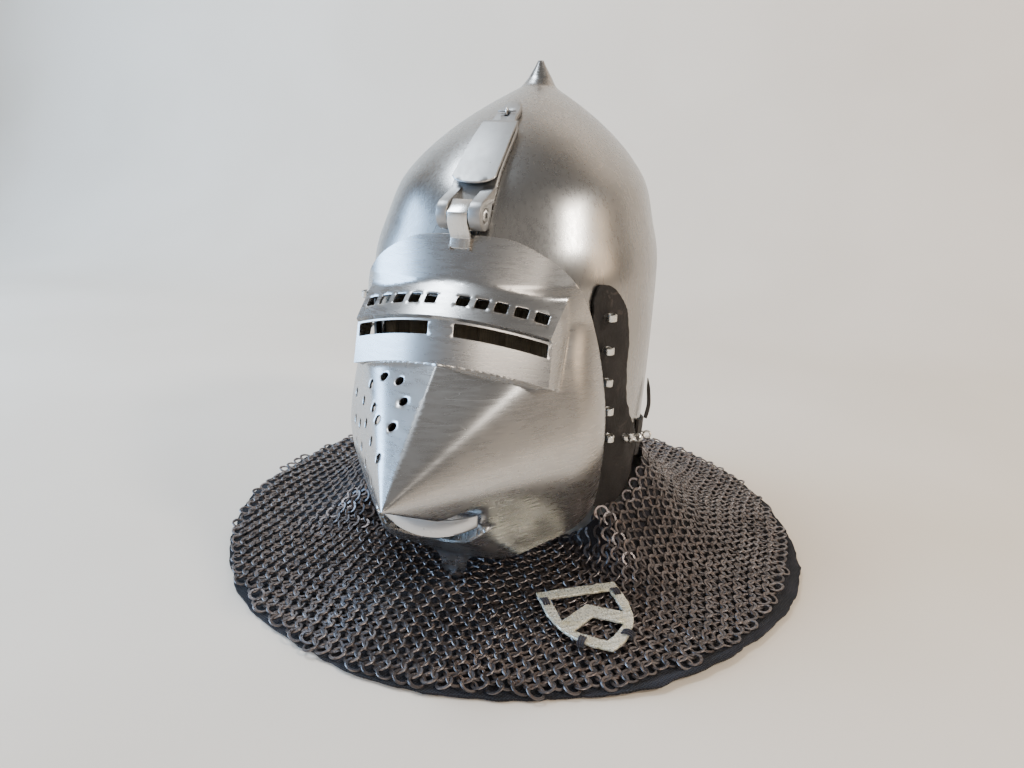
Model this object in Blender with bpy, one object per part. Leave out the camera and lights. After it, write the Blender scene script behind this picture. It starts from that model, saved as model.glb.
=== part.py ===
"""A pointed-visor bascinet with its mail aventail spread round it on a table.

Metres, +Z up. The face looks along -Y and the wearer's left is +X. The origin is on the table,
under the middle of the aventail. Sheet-metal pieces are drawn flat, in the two coordinates of
the surface that they follow, and are then wrapped on it and given their thickness.
"""

import math

import bmesh
import bpy
import numpy as np
from mathutils import Matrix, Vector
from mathutils.geometry import delaunay_2d_cdt

GAP = 0.0003                    # between pieces that touch
LEAST_DOUBLED_AREA = 2e-8       # square metres: flatter triangles on a straight side are left out

# Skull: half-elliptical sections, widest at WIDEST_Z, drawn up to a point that leans back.
SKULL_HALF_WIDTH = 0.1038
SKULL_FRONT = 0.112
SKULL_BACK = 0.130
WIDEST_Z = 0.210
OGIVE_Z = 0.345
APEX_Y = 0.043
FINIAL_Z = 0.357
FINIAL_TIP_RADIUS = 0.0022
FINIAL_ROOT_RADIUS = 0.0140
FINIAL_HEIGHT = 0.020
SKULL_PLATE = 0.0021
SKULL_LEVELS = (0.13, 0.27, 0.41, 0.53, 0.63, 0.71, 0.78, 0.84, 0.89, 0.93, 0.958, 0.975, 0.987)
SKULL_COLUMNS = 40
NAPE_RIM_Z = 0.040
CORNER_RIM_Z = 0.087
FACE_HALF_WIDTH = 0.0745
FACE_TOP_Z = 0.204

# Visor: a cone with two flat upper flanks, joined to a barrel that follows the brow.
VISOR_PLATE = 0.0018
TIP_Y = -0.215
TIP_Z = 0.1055
CONE_DEPTH = 0.095              # from the tip back to where the flank distances are measured
FLANKS = ((19.0, 0.0805), (74.0, 0.0750), (109.0, 0.0740))   # degrees from up, distance
HOLLOW_DISTANCE = 0.054
CHIN_DISTANCE = 0.0764
FLANK_ROUNDING = 14.0
CHEEK_HALF_WIDTH = 0.0915
CHEEK_Z = 0.112
BARREL_Z = (0.00, 0.06, 0.12, 0.165, 0.190, 0.2145, 0.2425, 0.26)
BARREL_FRONT = (0.100, 0.116, 0.125, 0.126, 0.1235, 0.118, 0.1042, 0.092)
BARREL_HALF_WIDTH = (0.095, 0.0955, 0.0985, 0.0965, 0.097, 0.100, 0.102, 0.102)
BARREL_POWER = 2.5
UNROLL = 0.11                   # radius that turns an angle about +Z into a flat width

# Sight frame, as a section in (forward, height) that arches down and back to its ends.
FRAME_TOP = (0.118, 0.2155)
FRAME_RIDGE = (0.1395, 0.1985)
FRAME_STEP = (0.1370, 0.1955)
FRAME_NOSE = (0.1435, 0.1700)
FRAME_UNDER = (0.1310, 0.1660)
FRAME_HALF_WIDTH = 0.0655
FRAME_PLAN_RADIUS = 0.150
FRAME_DROP = 0.0097
FRAME_DROP_AT = 0.0615
SIGHT_X = (0.0082, 0.0636)
SIGHT_Z = (0.1863, 0.1945)
VENT_Z = (0.2041, 0.2093)
VENT_FIRST_X = 0.0063
VENT_WIDTH = 0.0083
VENT_PITCH = 0.0117
VENTS_A_SIDE = 5
BREATH_RADIUS = 0.0033
BREATHS = (
    (-0.0230, 0.1576), (-0.0366, 0.1572), (-0.0475, 0.1500), (-0.0140, 0.1495), (-0.0371, 0.1410),
    (-0.0549, 0.1370), (-0.0292, 0.1375), (-0.0723, 0.1340), (-0.0151, 0.1378), (-0.0448, 0.1283),
    (-0.0313, 0.1250), (-0.0174, 0.1229), (-0.0570, 0.1218), (-0.0680, 0.1190), (-0.0486, 0.1120),
    (-0.0377, 0.1080), (-0.0630, 0.1060), (-0.0230, 0.1060),
)

# Mouth guard: a curved strip that stands off the hollow under the snout.
GUARD_HALF_WIDTH = 0.0355
GUARD_TOP = (0.1625, 0.0760)
GUARD_BOTTOM = (0.1650, 0.0658)
GUARD_BEND = (0.0036, 0.0070)   # how far its top and bottom edges fall back at the ends
GUARD_RISE = (0.0080, 0.0104)   # how far they rise there
GUARD_PLATE = 0.0015
LEDGE_HEIGHT = 0.0012
LEDGE_MIDDLE = (0.1575, 0.0596) # forward and height of the ledge under the guard, in the middle
SCOOP_CENTRE = (0.1725, 0.0715)
SCOOP_SIZE = (0.046, 0.0195, 0.0140)

# Brow hinge, on the median plane.
PIN_Y = -0.1045
PIN_Z = 0.2545
PIN_RADIUS = 0.0040
BORE_RADIUS = 0.0044
KNUCKLE_RADIUS = 0.0093
LEAF_X = (-0.0068, 0.0064)
OUTER_KNUCKLES = ((-0.0142, -0.0072), (0.0068, 0.0148))

# Leather band, vervelles and aventail.
LEATHER = 0.0022
VERVELLE_RADIUS = 0.0034
VERVELLE_BORE = 0.0019
VERVELLE_LENGTH = 0.0050
VERVELLE_SIDES = 8
STRIP_VERVELLE_Z = (0.192, 0.170, 0.148, 0.127, 0.1065)
BACK_VERVELLE_DEGREES = (69.5, 77.5, 98.0, 122.0, 150.0)
MAIL_RADIUS = 0.2215
NECK = (                        # degrees round from the front, then x, y, z of the mail's top edge
    (0, 0.0, -0.040, 0.012), (30, 0.045, -0.040, 0.012), (45, 0.066, -0.046, 0.018),
    (53, 0.080, -0.056, 0.040), (60, 0.0902, -0.056, 0.050), (72, 0.0997, -0.0345, 0.050),
    (82, 0.1050, -0.015, 0.060), (92, 0.1073, 0.004, 0.073), (101, 0.1055, 0.025, 0.068),
    (110, 0.1010, 0.0445, 0.063), (122, 0.0912, 0.069, 0.0575), (136, 0.0747, 0.0935, 0.053),
    (150, 0.0538, 0.1125, 0.049), (165, 0.0279, 0.1255, 0.047), (180, 0.0, 0.130, 0.0465),
)
NECK_FLARE = 2.2                # power of the drop from the neck to the flat part
FLAT_SHARE = 0.75               # share of the way out at which the mail lies flat
MAIL_TOP = 0.0068
MAIL_THICKNESS = 0.0044
LINING_SHARE = 1.055            # how far the cloth reaches, where 1 is the mail's edge


def material(name, colour, metallic, roughness):
    made = bpy.data.materials.new(name)
    made.use_nodes = True
    shader = made.node_tree.nodes["Principled BSDF"]
    shader.inputs["Base Color"].default_value = (*colour, 1.0)
    shader.inputs["Metallic"].default_value = metallic
    shader.inputs["Roughness"].default_value = roughness
    return made


def mesh_object(name, points, faces, made_of, smooth_degrees=35.0):
    """A closed mesh object, with its faces turned outwards."""
    mesh = bpy.data.meshes.new(name)
    mesh.from_pydata([tuple(map(float, point)) for point in points], [], faces)
    shape = bmesh.new()
    shape.from_mesh(mesh)
    bmesh.ops.recalc_face_normals(shape, faces=shape.faces)
    if shape.calc_volume(signed=True) < 0:
        bmesh.ops.reverse_faces(shape, faces=shape.faces)
    shape.to_mesh(mesh)
    shape.free()
    mesh.shade_smooth()
    mesh.set_sharp_from_angle(angle=math.radians(smooth_degrees))
    made = bpy.data.objects.new(name, mesh)
    made.data.materials.append(made_of)
    bpy.context.scene.collection.objects.link(made)
    return made


def smooth_curve(points, steps):
    """A Catmull-Rom curve through the points of an open outline."""
    known = [np.array(point) for point in points]
    ends = [2 * known[0] - known[1], *known, 2 * known[-1] - known[-2]]
    curve = []
    for before, start, end, after in zip(ends, ends[1:], ends[2:], ends[3:]):
        for step in range(steps):
            t = step / steps
            curve.append(0.5 * (2 * start + (end - before) * t
                                + (2 * before - 5 * start + 4 * end - after) * t ** 2
                                + (3 * start - before - 3 * end + after) * t ** 3))
    return curve + [ends[-2]]


def mirrored(half):
    """A closed outline, from its +X half listed from the top centre to the bottom centre."""
    return [tuple(p) for p in half] + [(-p[0], p[1]) for p in half[-2:0:-1]]


def inside(points, outline):
    """Whether each point is inside a closed outline, by counting crossings."""
    start = np.array(outline)
    end = np.roll(start, -1, axis=0)
    found = np.zeros(len(points), bool)
    for (x0, y0), (x1, y1) in zip(start, end):
        if y0 == y1:
            continue
        crosses = (points[:, 1] > min(y0, y1)) & (points[:, 1] <= max(y0, y1))
        found ^= crosses & (points[:, 0] < x0 + (points[:, 1] - y0) * (x1 - x0) / (y1 - y0))
    return found


def divided(outline, longest):
    """A closed outline with its longer sides divided evenly."""
    points = []
    for start, end in zip(outline, [*outline[1:], outline[0]]):
        parts = math.ceil(math.dist(start, end) / longest)
        points += [tuple(np.add(start, np.subtract(end, start) * i / parts)) for i in range(parts)]
    return points


def flat_mesh(outline, holes, spacing, lines=()):
    """Triangles that fill an outline with holes, with edges along its lines: points, faces."""
    outline = divided(outline, spacing)
    points = []
    edges = []
    for loop in (outline, *holes):
        first = len(points)
        points += [tuple(p) for p in loop]
        edges += [(first + i, first + (i + 1) % len(loop)) for i in range(len(loop))]
    for line in lines:
        first = len(points)
        points += [tuple(p) for p in line]
        edges += [(first + i, first + i + 1) for i in range(len(line) - 1)]
    fixed = np.array(points)
    low, high = fixed.min(axis=0), fixed.max(axis=0)
    counts = np.maximum(np.ceil((high - low) / spacing).astype(int), 1)
    across, up = (np.linspace(low[i], high[i], counts[i] + 1)[1:-1] for i in (0, 1))
    grid = np.array([(u, v) for v in up for u in across]).reshape(-1, 2)
    if len(grid):
        near = np.min(np.hypot(*(grid[:, None] - fixed[None]).transpose(2, 0, 1)), axis=1)
        points += [tuple(p) for p in grid[(near > 0.55 * spacing) & inside(grid, outline)]]
    found = delaunay_2d_cdt([Vector(p) * 1000 for p in points], edges, [], 0, 1e-6)
    flat = np.array([tuple(p) for p in found[0]]) / 1000
    faces = np.array([tuple(f) for f in found[2]])
    corners = flat[faces]
    middle = corners.mean(axis=1)
    base, side = corners[:, 1] - corners[:, 0], corners[:, 2] - corners[:, 0]
    doubled_area = np.abs(base[:, 0] * side[:, 1] - base[:, 1] * side[:, 0])
    kept = inside(middle, outline) & (doubled_area > LEAST_DOUBLED_AREA)
    for hole in holes:
        kept &= ~inside(middle, hole)
    return flat, faces[kept]


def wrapped(name, surface, flat, low, high, made_of):
    """A sheet of metal, leather or cloth: a flat mesh wrapped on a surface between two lifts."""
    points, faces = flat
    used, index = np.unique(faces, return_inverse=True)
    faces = index.reshape(faces.shape)
    points = points[used]
    count = len(points)
    both = np.vstack([surface(*points.T, high), surface(*points.T, low)])
    edges = {}
    for a, b, c in faces:
        for edge in ((a, b), (b, c), (c, a)):
            edges[edge] = edges.get((edge[1], edge[0]), 0) + 1
            if (edge[1], edge[0]) in edges:
                edges.pop(edge)
                edges.pop((edge[1], edge[0]))
    skin = [tuple(map(int, f)) for f in faces]
    skin += [tuple(int(i) + count for i in f[::-1]) for f in faces]
    skin += [(int(b), int(a), int(a) + count, int(b) + count) for a, b in edges]
    return mesh_object(name, both, skin, made_of)


def lifted(surface, u, v, lift):
    """Points of surface(u, v), moved out along its normal."""
    step = 2e-4
    along = surface(u + step, v) - surface(u - step, v)
    up = surface(u, v + step) - surface(u, v - step)
    normal = np.cross(along, up)
    normal /= np.linalg.norm(normal, axis=1)[:, None]
    return surface(u, v) + normal * np.reshape(lift, (-1, 1))


def prism(name, outline, x0, x1, made_of, hole=None):
    """An outline in (y, z), with an optional hole, extruded along X."""
    flat, faces = flat_mesh(outline, [hole] if hole else [], 1.0)
    return wrapped(name, lambda y, z, x: np.column_stack([np.full(len(y), x), y, z]),
                   (flat, faces), x0, x1, made_of)


def arc(centre, radius, start, end, count):
    """Points of an arc between two angles in radians, both ends included."""
    turns = np.linspace(start, end, count)
    return [(centre[0] + radius * math.cos(a), centre[1] + radius * math.sin(a)) for a in turns]


def circle(centre, radius, sides):
    half_step = math.pi / sides
    return arc(centre, radius, half_step, 2 * math.pi - half_step, sides)


def boolean(target, other, operation):
    """Applies a Boolean with another object, which is then only a guide."""
    other.hide_render = True
    other.display_type = "WIRE"
    cut = target.modifiers.new(operation.lower(), "BOOLEAN")
    cut.operation = operation
    cut.solver = "EXACT"
    cut.object = other


# ---------------------------------------------------------------- the skull's surface

def skull_section(z):
    """Centre y, half width, front depth and back depth of the skull's outside at a height."""
    rise = np.clip((z - WIDEST_Z) / (OGIVE_Z - WIDEST_Z), 0, 1)
    fuller = np.clip((rise - 0.2) / 0.3, 0, 1)
    power = 2 + 0.5 * fuller ** 2 * (3 - 2 * fuller)
    scale = np.where(z > WIDEST_Z, 1 - rise ** power, 1 - 0.08 * ((WIDEST_Z - z) / 0.19) ** 2)
    top = np.clip((FINIAL_Z - z) / FINIAL_HEIGHT, 0, 1)
    finial = FINIAL_TIP_RADIUS + (FINIAL_ROOT_RADIUS - FINIAL_TIP_RADIUS) * top ** 1.1
    finial = np.where(z > FINIAL_Z - FINIAL_HEIGHT, finial, 0)
    centre = APEX_Y * rise ** 1.5
    sizes = (SKULL_HALF_WIDTH, SKULL_FRONT, SKULL_BACK)
    return (centre, *(np.maximum(size * scale, finial) for size in sizes))


def skull(u, z):
    """Skull surface: u is the angle round from the front times UNROLL."""
    angle = u / UNROLL
    centre, half, front, back = skull_section(z)
    depth = np.where(np.cos(angle) > 0, front, back)
    return np.column_stack([half * np.sin(angle), centre - depth * np.cos(angle), z])


def on_skull(u, z, lift):
    return lifted(skull, np.asarray(u, float), np.asarray(z, float), lift)


def vervelle_line(angle):
    """Height of the row of vervelles at an angle (radians) round from the front."""
    back = (1 + np.cos(angle)) / 2
    return 0.058 + 0.068 * back ** 1.25


def skull_rim(angle):
    back = (1 - np.cos(angle)) / 2
    return CORNER_RIM_Z + (NAPE_RIM_Z - CORNER_RIM_Z) * np.clip(1.25 * back - 0.1, 0, 1)


# ---------------------------------------------------------------- the visor's surface

def smooth_least(a, b, width):
    share = np.clip(0.5 + 0.5 * (b - a) / width, 0, 1)
    return b + (a - b) * share - width * share * (1 - share)


def smooth_most(a, b, width):
    return -smooth_least(-a, -b, width)


def chin_ledge(x):
    """Height of the ledge under the mouth guard, where the chin plate begins."""
    side = np.minimum(np.abs(x) / GUARD_HALF_WIDTH, 1.2)
    return LEDGE_MIDDLE[1] + GUARD_RISE[1] * side ** 2


def snout(x, forward, z):
    """Below zero inside the cone of the snout."""
    side = np.abs(x)
    rise = z - TIP_Z
    below = np.clip((chin_ledge(x) - z) / LEDGE_HEIGHT + 0.5, 0, 1)
    bottom = HOLLOW_DISTANCE + (CHIN_DISTANCE - HOLLOW_DISTANCE) * below
    reach = np.maximum(-rise / bottom, 0) ** FLANK_ROUNDING
    for degrees, distance in FLANKS:
        turn = math.radians(degrees)
        across = (math.sin(turn) * side + math.cos(turn) * rise) / distance
        reach = reach + np.maximum(across, 0) ** FLANK_ROUNDING
    return (forward + TIP_Y + CONE_DEPTH * reach ** (1 / FLANK_ROUNDING)) * 0.64


def barrel(x, forward, z):
    """Below zero inside the upright barrel that follows the brow and the cheeks."""
    front = np.interp(z, BARREL_Z, BARREL_FRONT)
    half = np.interp(z, BARREL_Z, BARREL_HALF_WIDTH)
    size = (np.abs(x) / half) ** BARREL_POWER + (np.maximum(forward, 0) / front) ** BARREL_POWER
    return (size ** (1 / BARREL_POWER) - 1) * 0.1


def plane(forward, z, start, end):
    """Distance in front of the line from start, above, to end, below, in the median section."""
    run, fall = end[0] - start[0], start[1] - end[1]
    length = math.hypot(run, fall)
    return (fall * (forward - start[0]) + run * (z - start[1])) / length


def sight_frame(x, forward, z):
    """Below zero inside the raised frame round the sights."""
    forward_0 = forward + x ** 2 / (2 * FRAME_PLAN_RADIUS)
    z_0 = z + FRAME_DROP * (x / FRAME_DROP_AT) ** 2
    top = plane(forward_0, z_0, FRAME_TOP, FRAME_RIDGE)
    under_ridge = plane(forward_0, z_0, FRAME_RIDGE, FRAME_STEP)
    face = plane(forward_0, z_0, FRAME_STEP, FRAME_NOSE)
    bottom = plane(forward_0, z_0, FRAME_NOSE, FRAME_UNDER)
    end = 0.99 * np.abs(x) + 0.134 * forward + 0.053 * z - 0.0911
    upper = np.maximum(np.maximum(top, under_ridge), end)
    lower = np.maximum(np.maximum(np.maximum(top, face), bottom), end)
    return np.minimum(upper, lower)


def visor_field(x, forward, z):
    """Below zero inside the visor's outer surface, and about the distance from it in metres."""
    cheeks = np.abs(x) - (CHEEK_HALF_WIDTH - 2.4 * (z - CHEEK_Z) ** 2)
    lower = smooth_most(snout(x, forward, z), cheeks, 0.012)
    body = smooth_least(barrel(x, forward, z), lower, 0.006)
    body = smooth_least(body, sight_frame(x, forward, z), 0.0012)
    height = z - SCOOP_CENTRE[1] - GUARD_RISE[0] * (x / GUARD_HALF_WIDTH) ** 2
    scoop = (np.abs(x) / SCOOP_SIZE[0]) ** 3 + ((forward - SCOOP_CENTRE[0]) / SCOOP_SIZE[1]) ** 2
    scoop = (scoop + np.abs(height / SCOOP_SIZE[2]) ** 3) ** 0.5
    body = smooth_most(body, (1 - scoop) * SCOOP_SIZE[2], 0.0025)
    tab = np.maximum(np.abs(x) - 0.020, forward - 0.1195 - 0.06 * (z - 0.028))
    return smooth_least(body, np.maximum(tab, z - 0.036), 0.003)


def visor(u, z):
    """Visor surface: u is the angle round from the front times UNROLL."""
    u, z = np.asarray(u, float), np.asarray(z, float)
    across, ahead = np.sin(u / UNROLL), np.cos(u / UNROLL)
    near, far = np.full(len(u), 0.03), np.full(len(u), 0.27)
    for _ in range(36):
        middle = (near + far) / 2
        within = visor_field(middle * across, middle * ahead, z) < 0
        near, far = np.where(within, middle, near), np.where(within, far, middle)
    return np.column_stack([near * across, -near * ahead, z])


def on_visor(u, z, lift):
    """Visor surface moved out along the gradient of its field."""
    points = visor(u, z)
    x, forward, height = points[:, 0], -points[:, 1], points[:, 2]
    step = 5e-4
    slope = [visor_field(x + step, forward, height) - visor_field(x - step, forward, height),
             visor_field(x, forward - step, height) - visor_field(x, forward + step, height),
             visor_field(x, forward, height + step) - visor_field(x, forward, height - step)]
    normal = np.column_stack(slope)
    normal /= np.linalg.norm(normal, axis=1)[:, None]
    return points + normal * np.reshape(lift, (-1, 1))


def frame_line(forward, z, x):
    """Flat visor coordinates of a line of the sight frame that runs at one place of its section."""
    x = np.asarray(x, float)
    ahead = forward - x ** 2 / (2 * FRAME_PLAN_RADIUS)
    height = z - FRAME_DROP * (x / FRAME_DROP_AT) ** 2
    return list(zip(np.arctan2(x, ahead) * UNROLL, height))


def along(start, end, z):
    """How far forward the section line from start to end is at a height."""
    return start[0] + (end[0] - start[0]) * (z - start[1]) / (end[1] - start[1])


def frame_window(x0, x1, low, high, start, end, steps):
    """A window in the sight frame, between two x and two heights of one face of its section."""
    across = np.linspace(x0, x1, steps + 1)
    bottom = frame_line(along(start, end, low), low, across)
    top = frame_line(along(start, end, high), high, across[::-1])
    return bottom + top


def breath_hole(x, z, sides):
    """A round hole drilled square to the snout's flank, in flat visor coordinates."""
    lines = np.linspace(0.02, 0.26, 1200)
    field = visor_field(np.full(1200, x), lines, np.full(1200, z))
    centre = np.array([x, -lines[np.argmax(field > 0)], z])
    u = math.atan2(x, -centre[1]) * UNROLL
    across = (visor([u + 1e-3], [z]) - visor([u - 1e-3], [z]))[0]
    up = (visor([u], [z + 1e-3]) - visor([u], [z - 1e-3]))[0]
    across /= np.linalg.norm(across)
    up = np.cross(np.cross(across, up), across)
    up /= np.linalg.norm(up)
    loop = []
    for i in range(sides):
        turn = 2 * math.pi * i / sides
        point = centre + BREATH_RADIUS * (math.cos(turn) * across + math.sin(turn) * up)
        loop.append((math.atan2(point[0], -point[1]) * UNROLL, point[2]))
    return loop


def visor_outline(steps):
    """Outline of the visor, from the top centre down the wearer's left to the chin tab."""
    corners = ((0, 0.2425), (10, 0.2420), (20, 0.2388), (32, 0.2255), (40.5, 0.205), (46.8, 0.172),
               (49.5, 0.135), (49.8, 0.100), (51.2, 0.072), (50.2, 0.0585), (45, 0.0530),
               (35, 0.0490), (27, 0.0450), (19, 0.0400), (12, 0.0340), (7.2, 0.0285),
               (4.8, 0.0230), (4.0, 0.0150), (2.6, 0.0098), (0, 0.0085))
    half = smooth_curve([(math.radians(a) * UNROLL, z) for a, z in corners], steps)
    return mirrored(half)


# ---------------------------------------------------------------- pieces

def make_skull(steel):
    """Skull shell, with its slanting rim and its face opening."""
    columns = SKULL_COLUMNS
    angles = np.linspace(0, 2 * math.pi, columns, endpoint=False)
    rim = skull_rim(angles)
    rings = []
    for lift in (0.0, -SKULL_PLATE):
        for level in (0.0, *SKULL_LEVELS):
            if lift and level > SKULL_LEVELS[-3]:
                continue
            z = rim + (FINIAL_Z - rim) * level
            rings.append(on_skull(angles * UNROLL, z, lift))
    outer = 1 + len(SKULL_LEVELS)
    points = [p for ring in rings for p in ring]
    ridge = skull_section(np.array(FINIAL_Z))[0]
    points += [(0, float(ridge), FINIAL_Z), (0, float(ridge), rings[-1][:, 2].mean())]
    faces = []
    for row in range(len(rings) - 1):
        first, second = (0, outer) if row == outer - 1 else (row, row + 1)
        for i in range(columns):
            j = (i + 1) % columns
            faces.append((first * columns + i, first * columns + j,
                          second * columns + j, second * columns + i))
    for i in range(columns):
        j = (i + 1) % columns
        faces.append(((outer - 1) * columns + i, (outer - 1) * columns + j, len(points) - 2))
        faces.append(((len(rings) - 1) * columns + i, (len(rings) - 1) * columns + j,
                      len(points) - 1))
    shell = mesh_object("skull", points, faces, steel)
    corner = [(0, FACE_TOP_Z), (0.040, FACE_TOP_Z - 0.003), (0.064, FACE_TOP_Z - 0.020),
              (FACE_HALF_WIDTH, FACE_TOP_Z - 0.052), (FACE_HALF_WIDTH, 0.10)]
    half = smooth_curve(corner, 3) + [(FACE_HALF_WIDTH, 0.02), (0, 0.02)]
    flat = flat_mesh(mirrored(half), [], 1.0)
    cutter = wrapped("face_opening_cutter",
                     lambda x, z, y: np.column_stack([x, np.full(len(x), y), z]),
                     flat, -0.20, -0.05, steel)
    boolean(shell, cutter, "DIFFERENCE")


def make_visor(steel):
    across = np.linspace(-FRAME_HALF_WIDTH, FRAME_HALF_WIDTH, 15)
    lines = [frame_line(*place, across) for place in
             (FRAME_TOP, FRAME_RIDGE, FRAME_STEP, FRAME_NOSE, FRAME_UNDER)]
    chin = np.linspace(-1.1, 1.1, 13) * GUARD_HALF_WIDTH
    lines += [list(zip(np.arctan2(chin, LEDGE_MIDDLE[0]) * UNROLL, chin_ledge(chin) + lift))
              for lift in (-LEDGE_HEIGHT, LEDGE_HEIGHT)]
    holes = []
    for side in (1, -1):
        holes.append(frame_window(side * SIGHT_X[0], side * SIGHT_X[1], *SIGHT_Z,
                                  FRAME_STEP, FRAME_NOSE, 6))
        for i in range(VENTS_A_SIDE):
            x0 = VENT_FIRST_X + i * VENT_PITCH
            holes.append(frame_window(side * x0, side * (x0 + VENT_WIDTH), *VENT_Z,
                                      FRAME_RIDGE, FRAME_TOP, 1))
    holes += [breath_hole(x, z, 8) for x, z in BREATHS]
    crease = [(0, FRAME_UNDER[1] - 0.004), (0, 0.150), (0, 0.135), (0, 0.120), (0, 0.111),
              (0, TIP_Z), (0, 0.099), (0, 0.09)]
    flat = flat_mesh(visor_outline(2), holes, 0.0072, [*lines, crease])
    wrapped("visor_shell", on_visor, flat, -VISOR_PLATE, 0.0, steel)


def make_mouth_guard(steel):
    def strip(x, share, lift):
        bend = (x / GUARD_HALF_WIDTH) ** 2
        forward = GUARD_BOTTOM[0] + share * (GUARD_TOP[0] - GUARD_BOTTOM[0])
        rise = GUARD_RISE[1] + share * (GUARD_RISE[0] - GUARD_RISE[1])
        z = GUARD_BOTTOM[1] + share * (GUARD_TOP[1] - GUARD_BOTTOM[1]) + rise * bend
        y = -(forward - (GUARD_BEND[1] + share * (GUARD_BEND[0] - GUARD_BEND[1])) * bend + lift)
        return np.column_stack([x, y, z])

    across = np.linspace(-0.95, 0.95, 13) * GUARD_HALF_WIDTH
    outline = [(x, 0.0) for x in across] + [(x, 1.0) for x in across[::-1]]
    flat = flat_mesh(outline, [], 2.0)
    wrapped("mouth_guard", strip, flat, 0.0, GUARD_PLATE, steel)


def make_hinge(dark_steel, bright_steel):
    """The brow hinge: base plate, visor leaf, pin, cover plate, staple and lock pin."""
    axis = (PIN_Y, PIN_Z)
    bore = circle(axis, BORE_RADIUS, 12)

    # Base plate: a tongue on the skull, wide at the knuckles, with a slot near its end.
    profile = [(0.0138, 0.2600), (0.0138, 0.270), (0.0125, 0.300), (0.0075, 0.3085),
               (0.0065, 0.3160), (0.0035, 0.3205), (0.0, 0.3212)]
    outline = [(-x, z) for x, z in profile[:-1]] + [(x, z) for x, z in profile[::-1]]
    slot = [(-0.0022, 0.3105), (0.0022, 0.3105), (0.0022, 0.3155), (-0.0022, 0.3155)]

    def plate(x, z, lift):
        half = skull_section(z)[1]
        return on_skull(np.arcsin(np.clip(x / half, -1, 1)) * UNROLL, z, lift)

    flat = flat_mesh(outline, [slot], 0.007)
    base = wrapped("hinge_base", plate, flat, GAP, 0.0043, dark_steel)
    root = [plate(np.array([0.0]), np.array([z]), 0.0022)[0][1:] for z in (0.2700, 0.2610)]
    for number, (x0, x1) in enumerate(OUTER_KNUCKLES):
        start = math.atan2(root[0][1] - PIN_Z, root[0][0] - PIN_Y) + 1.25
        rim = arc(axis, KNUCKLE_RADIUS, start, start + 2 * math.pi - 2.6, 12)
        knuckle = prism(f"outer_knuckle_guide_{number}", rim + [tuple(root[1]), tuple(root[0])],
                        x0, x1, dark_steel, bore)
        boolean(base, knuckle, "UNION")

    # Visor leaf: the middle knuckle and the strap that lies on the visor's brow.
    seats = [on_visor([0.0], [z], lift)[0][1:] for z, lift in
             ((0.2400, GAP), (0.2340, GAP), (0.2340, 0.0012), (0.2395, 0.0028))]
    rim = arc(axis, KNUCKLE_RADIUS, -2.02, 1.63, 11)
    leaf_outline = [tuple(seats[1]), tuple(seats[0])] + rim + [
        (PIN_Y - KNUCKLE_RADIUS, PIN_Z + 0.002), (PIN_Y - KNUCKLE_RADIUS, PIN_Z - 0.004),
        tuple(seats[3]), tuple(seats[2])]
    prism("hinge_leaf", leaf_outline, *LEAF_X, bright_steel, bore)

    # Pin, with a socket in the end on the wearer's left.
    pin = prism("hinge_pin", circle(axis, PIN_RADIUS, 12), OUTER_KNUCKLES[0][0] - 0.0002,
                OUTER_KNUCKLES[1][1] + 0.0002, bright_steel)
    socket = prism("socket_cutter", circle(axis, 0.0022, 6), OUTER_KNUCKLES[1][1] - 0.0035,
                   OUTER_KNUCKLES[1][1] + 0.002, bright_steel)
    boolean(pin, socket, "DIFFERENCE")

    # Cover plate: lies on the base, with its rounded lower lip standing proud.
    lower = [(0.0132 * math.sin(a), 0.2725 - 0.0045 * math.cos(a)) for a in np.linspace(-1.5, 1.5, 9)]
    cover = lower + [(0.0128, 0.288), (0.0112, 0.3055), (-0.0112, 0.3055), (-0.0128, 0.288)]
    flat = flat_mesh(cover, [], 0.007)

    def proud(x, z, lift):
        lip = np.clip((0.286 - z) / 0.018, 0, 1) ** 2
        return plate(x, z, lift + 0.0043 + 2 * GAP + 0.0030 * lip)

    wrapped("hinge_cover_plate", proud, flat, 0.0, 0.0019, dark_steel)

    # Staple through the slot, and the small pin that locks the base under it.
    centre = plate(np.array([0.0]), np.array([0.3130]), 0.0046)[0]
    raised = plate(np.array([0.0]), np.array([0.3130]), 0.0056)[0]
    out = Vector(raised - centre).normalized()
    up = out.cross(Vector((-1, 0, 0)))

    def at_slot(outward, upward, x=0.0):
        return Vector(centre) + out * outward + up * upward + Vector((x, 0, 0))

    bend = [(0.0005 + 0.0021 * math.sin(a), 0.0017 * math.cos(a)) for a in np.linspace(0, math.pi, 7)]
    bend = [(-0.0042, 0.0017), *bend, (-0.0042, -0.0017)]
    tube("hinge_staple", [at_slot(*place) for place in bend], 0.0007, 6, bright_steel)
    tube("hinge_lock_pin", [at_slot(0.00105, 0, x) for x in (-0.0065, 0.0, 0.0065)], 0.0006, 6,
         dark_steel)


def tube(name, route, radius, sides, made_of):
    """A round bar along a short open route of points."""
    route = [Vector(p) for p in route]
    points = []
    side = None
    for i, here in enumerate(route):
        ahead = (route[min(i + 1, len(route) - 1)] - route[max(i - 1, 0)]).normalized()
        side = side or ahead.orthogonal().normalized()
        side = (side - ahead * side.dot(ahead)).normalized()
        other = ahead.cross(side)
        for k in range(sides):
            turn = 2 * math.pi * k / sides
            points.append(here + (side * math.cos(turn) + other * math.sin(turn)) * radius)
    faces = [tuple(range(sides)), tuple(range(len(points) - sides, len(points)))]
    for i in range(len(route) - 1):
        for k in range(sides):
            j = (k + 1) % sides
            faces.append((i * sides + k, i * sides + j, (i + 1) * sides + j, (i + 1) * sides + k))
    return mesh_object(name, points, faces, made_of)


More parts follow.
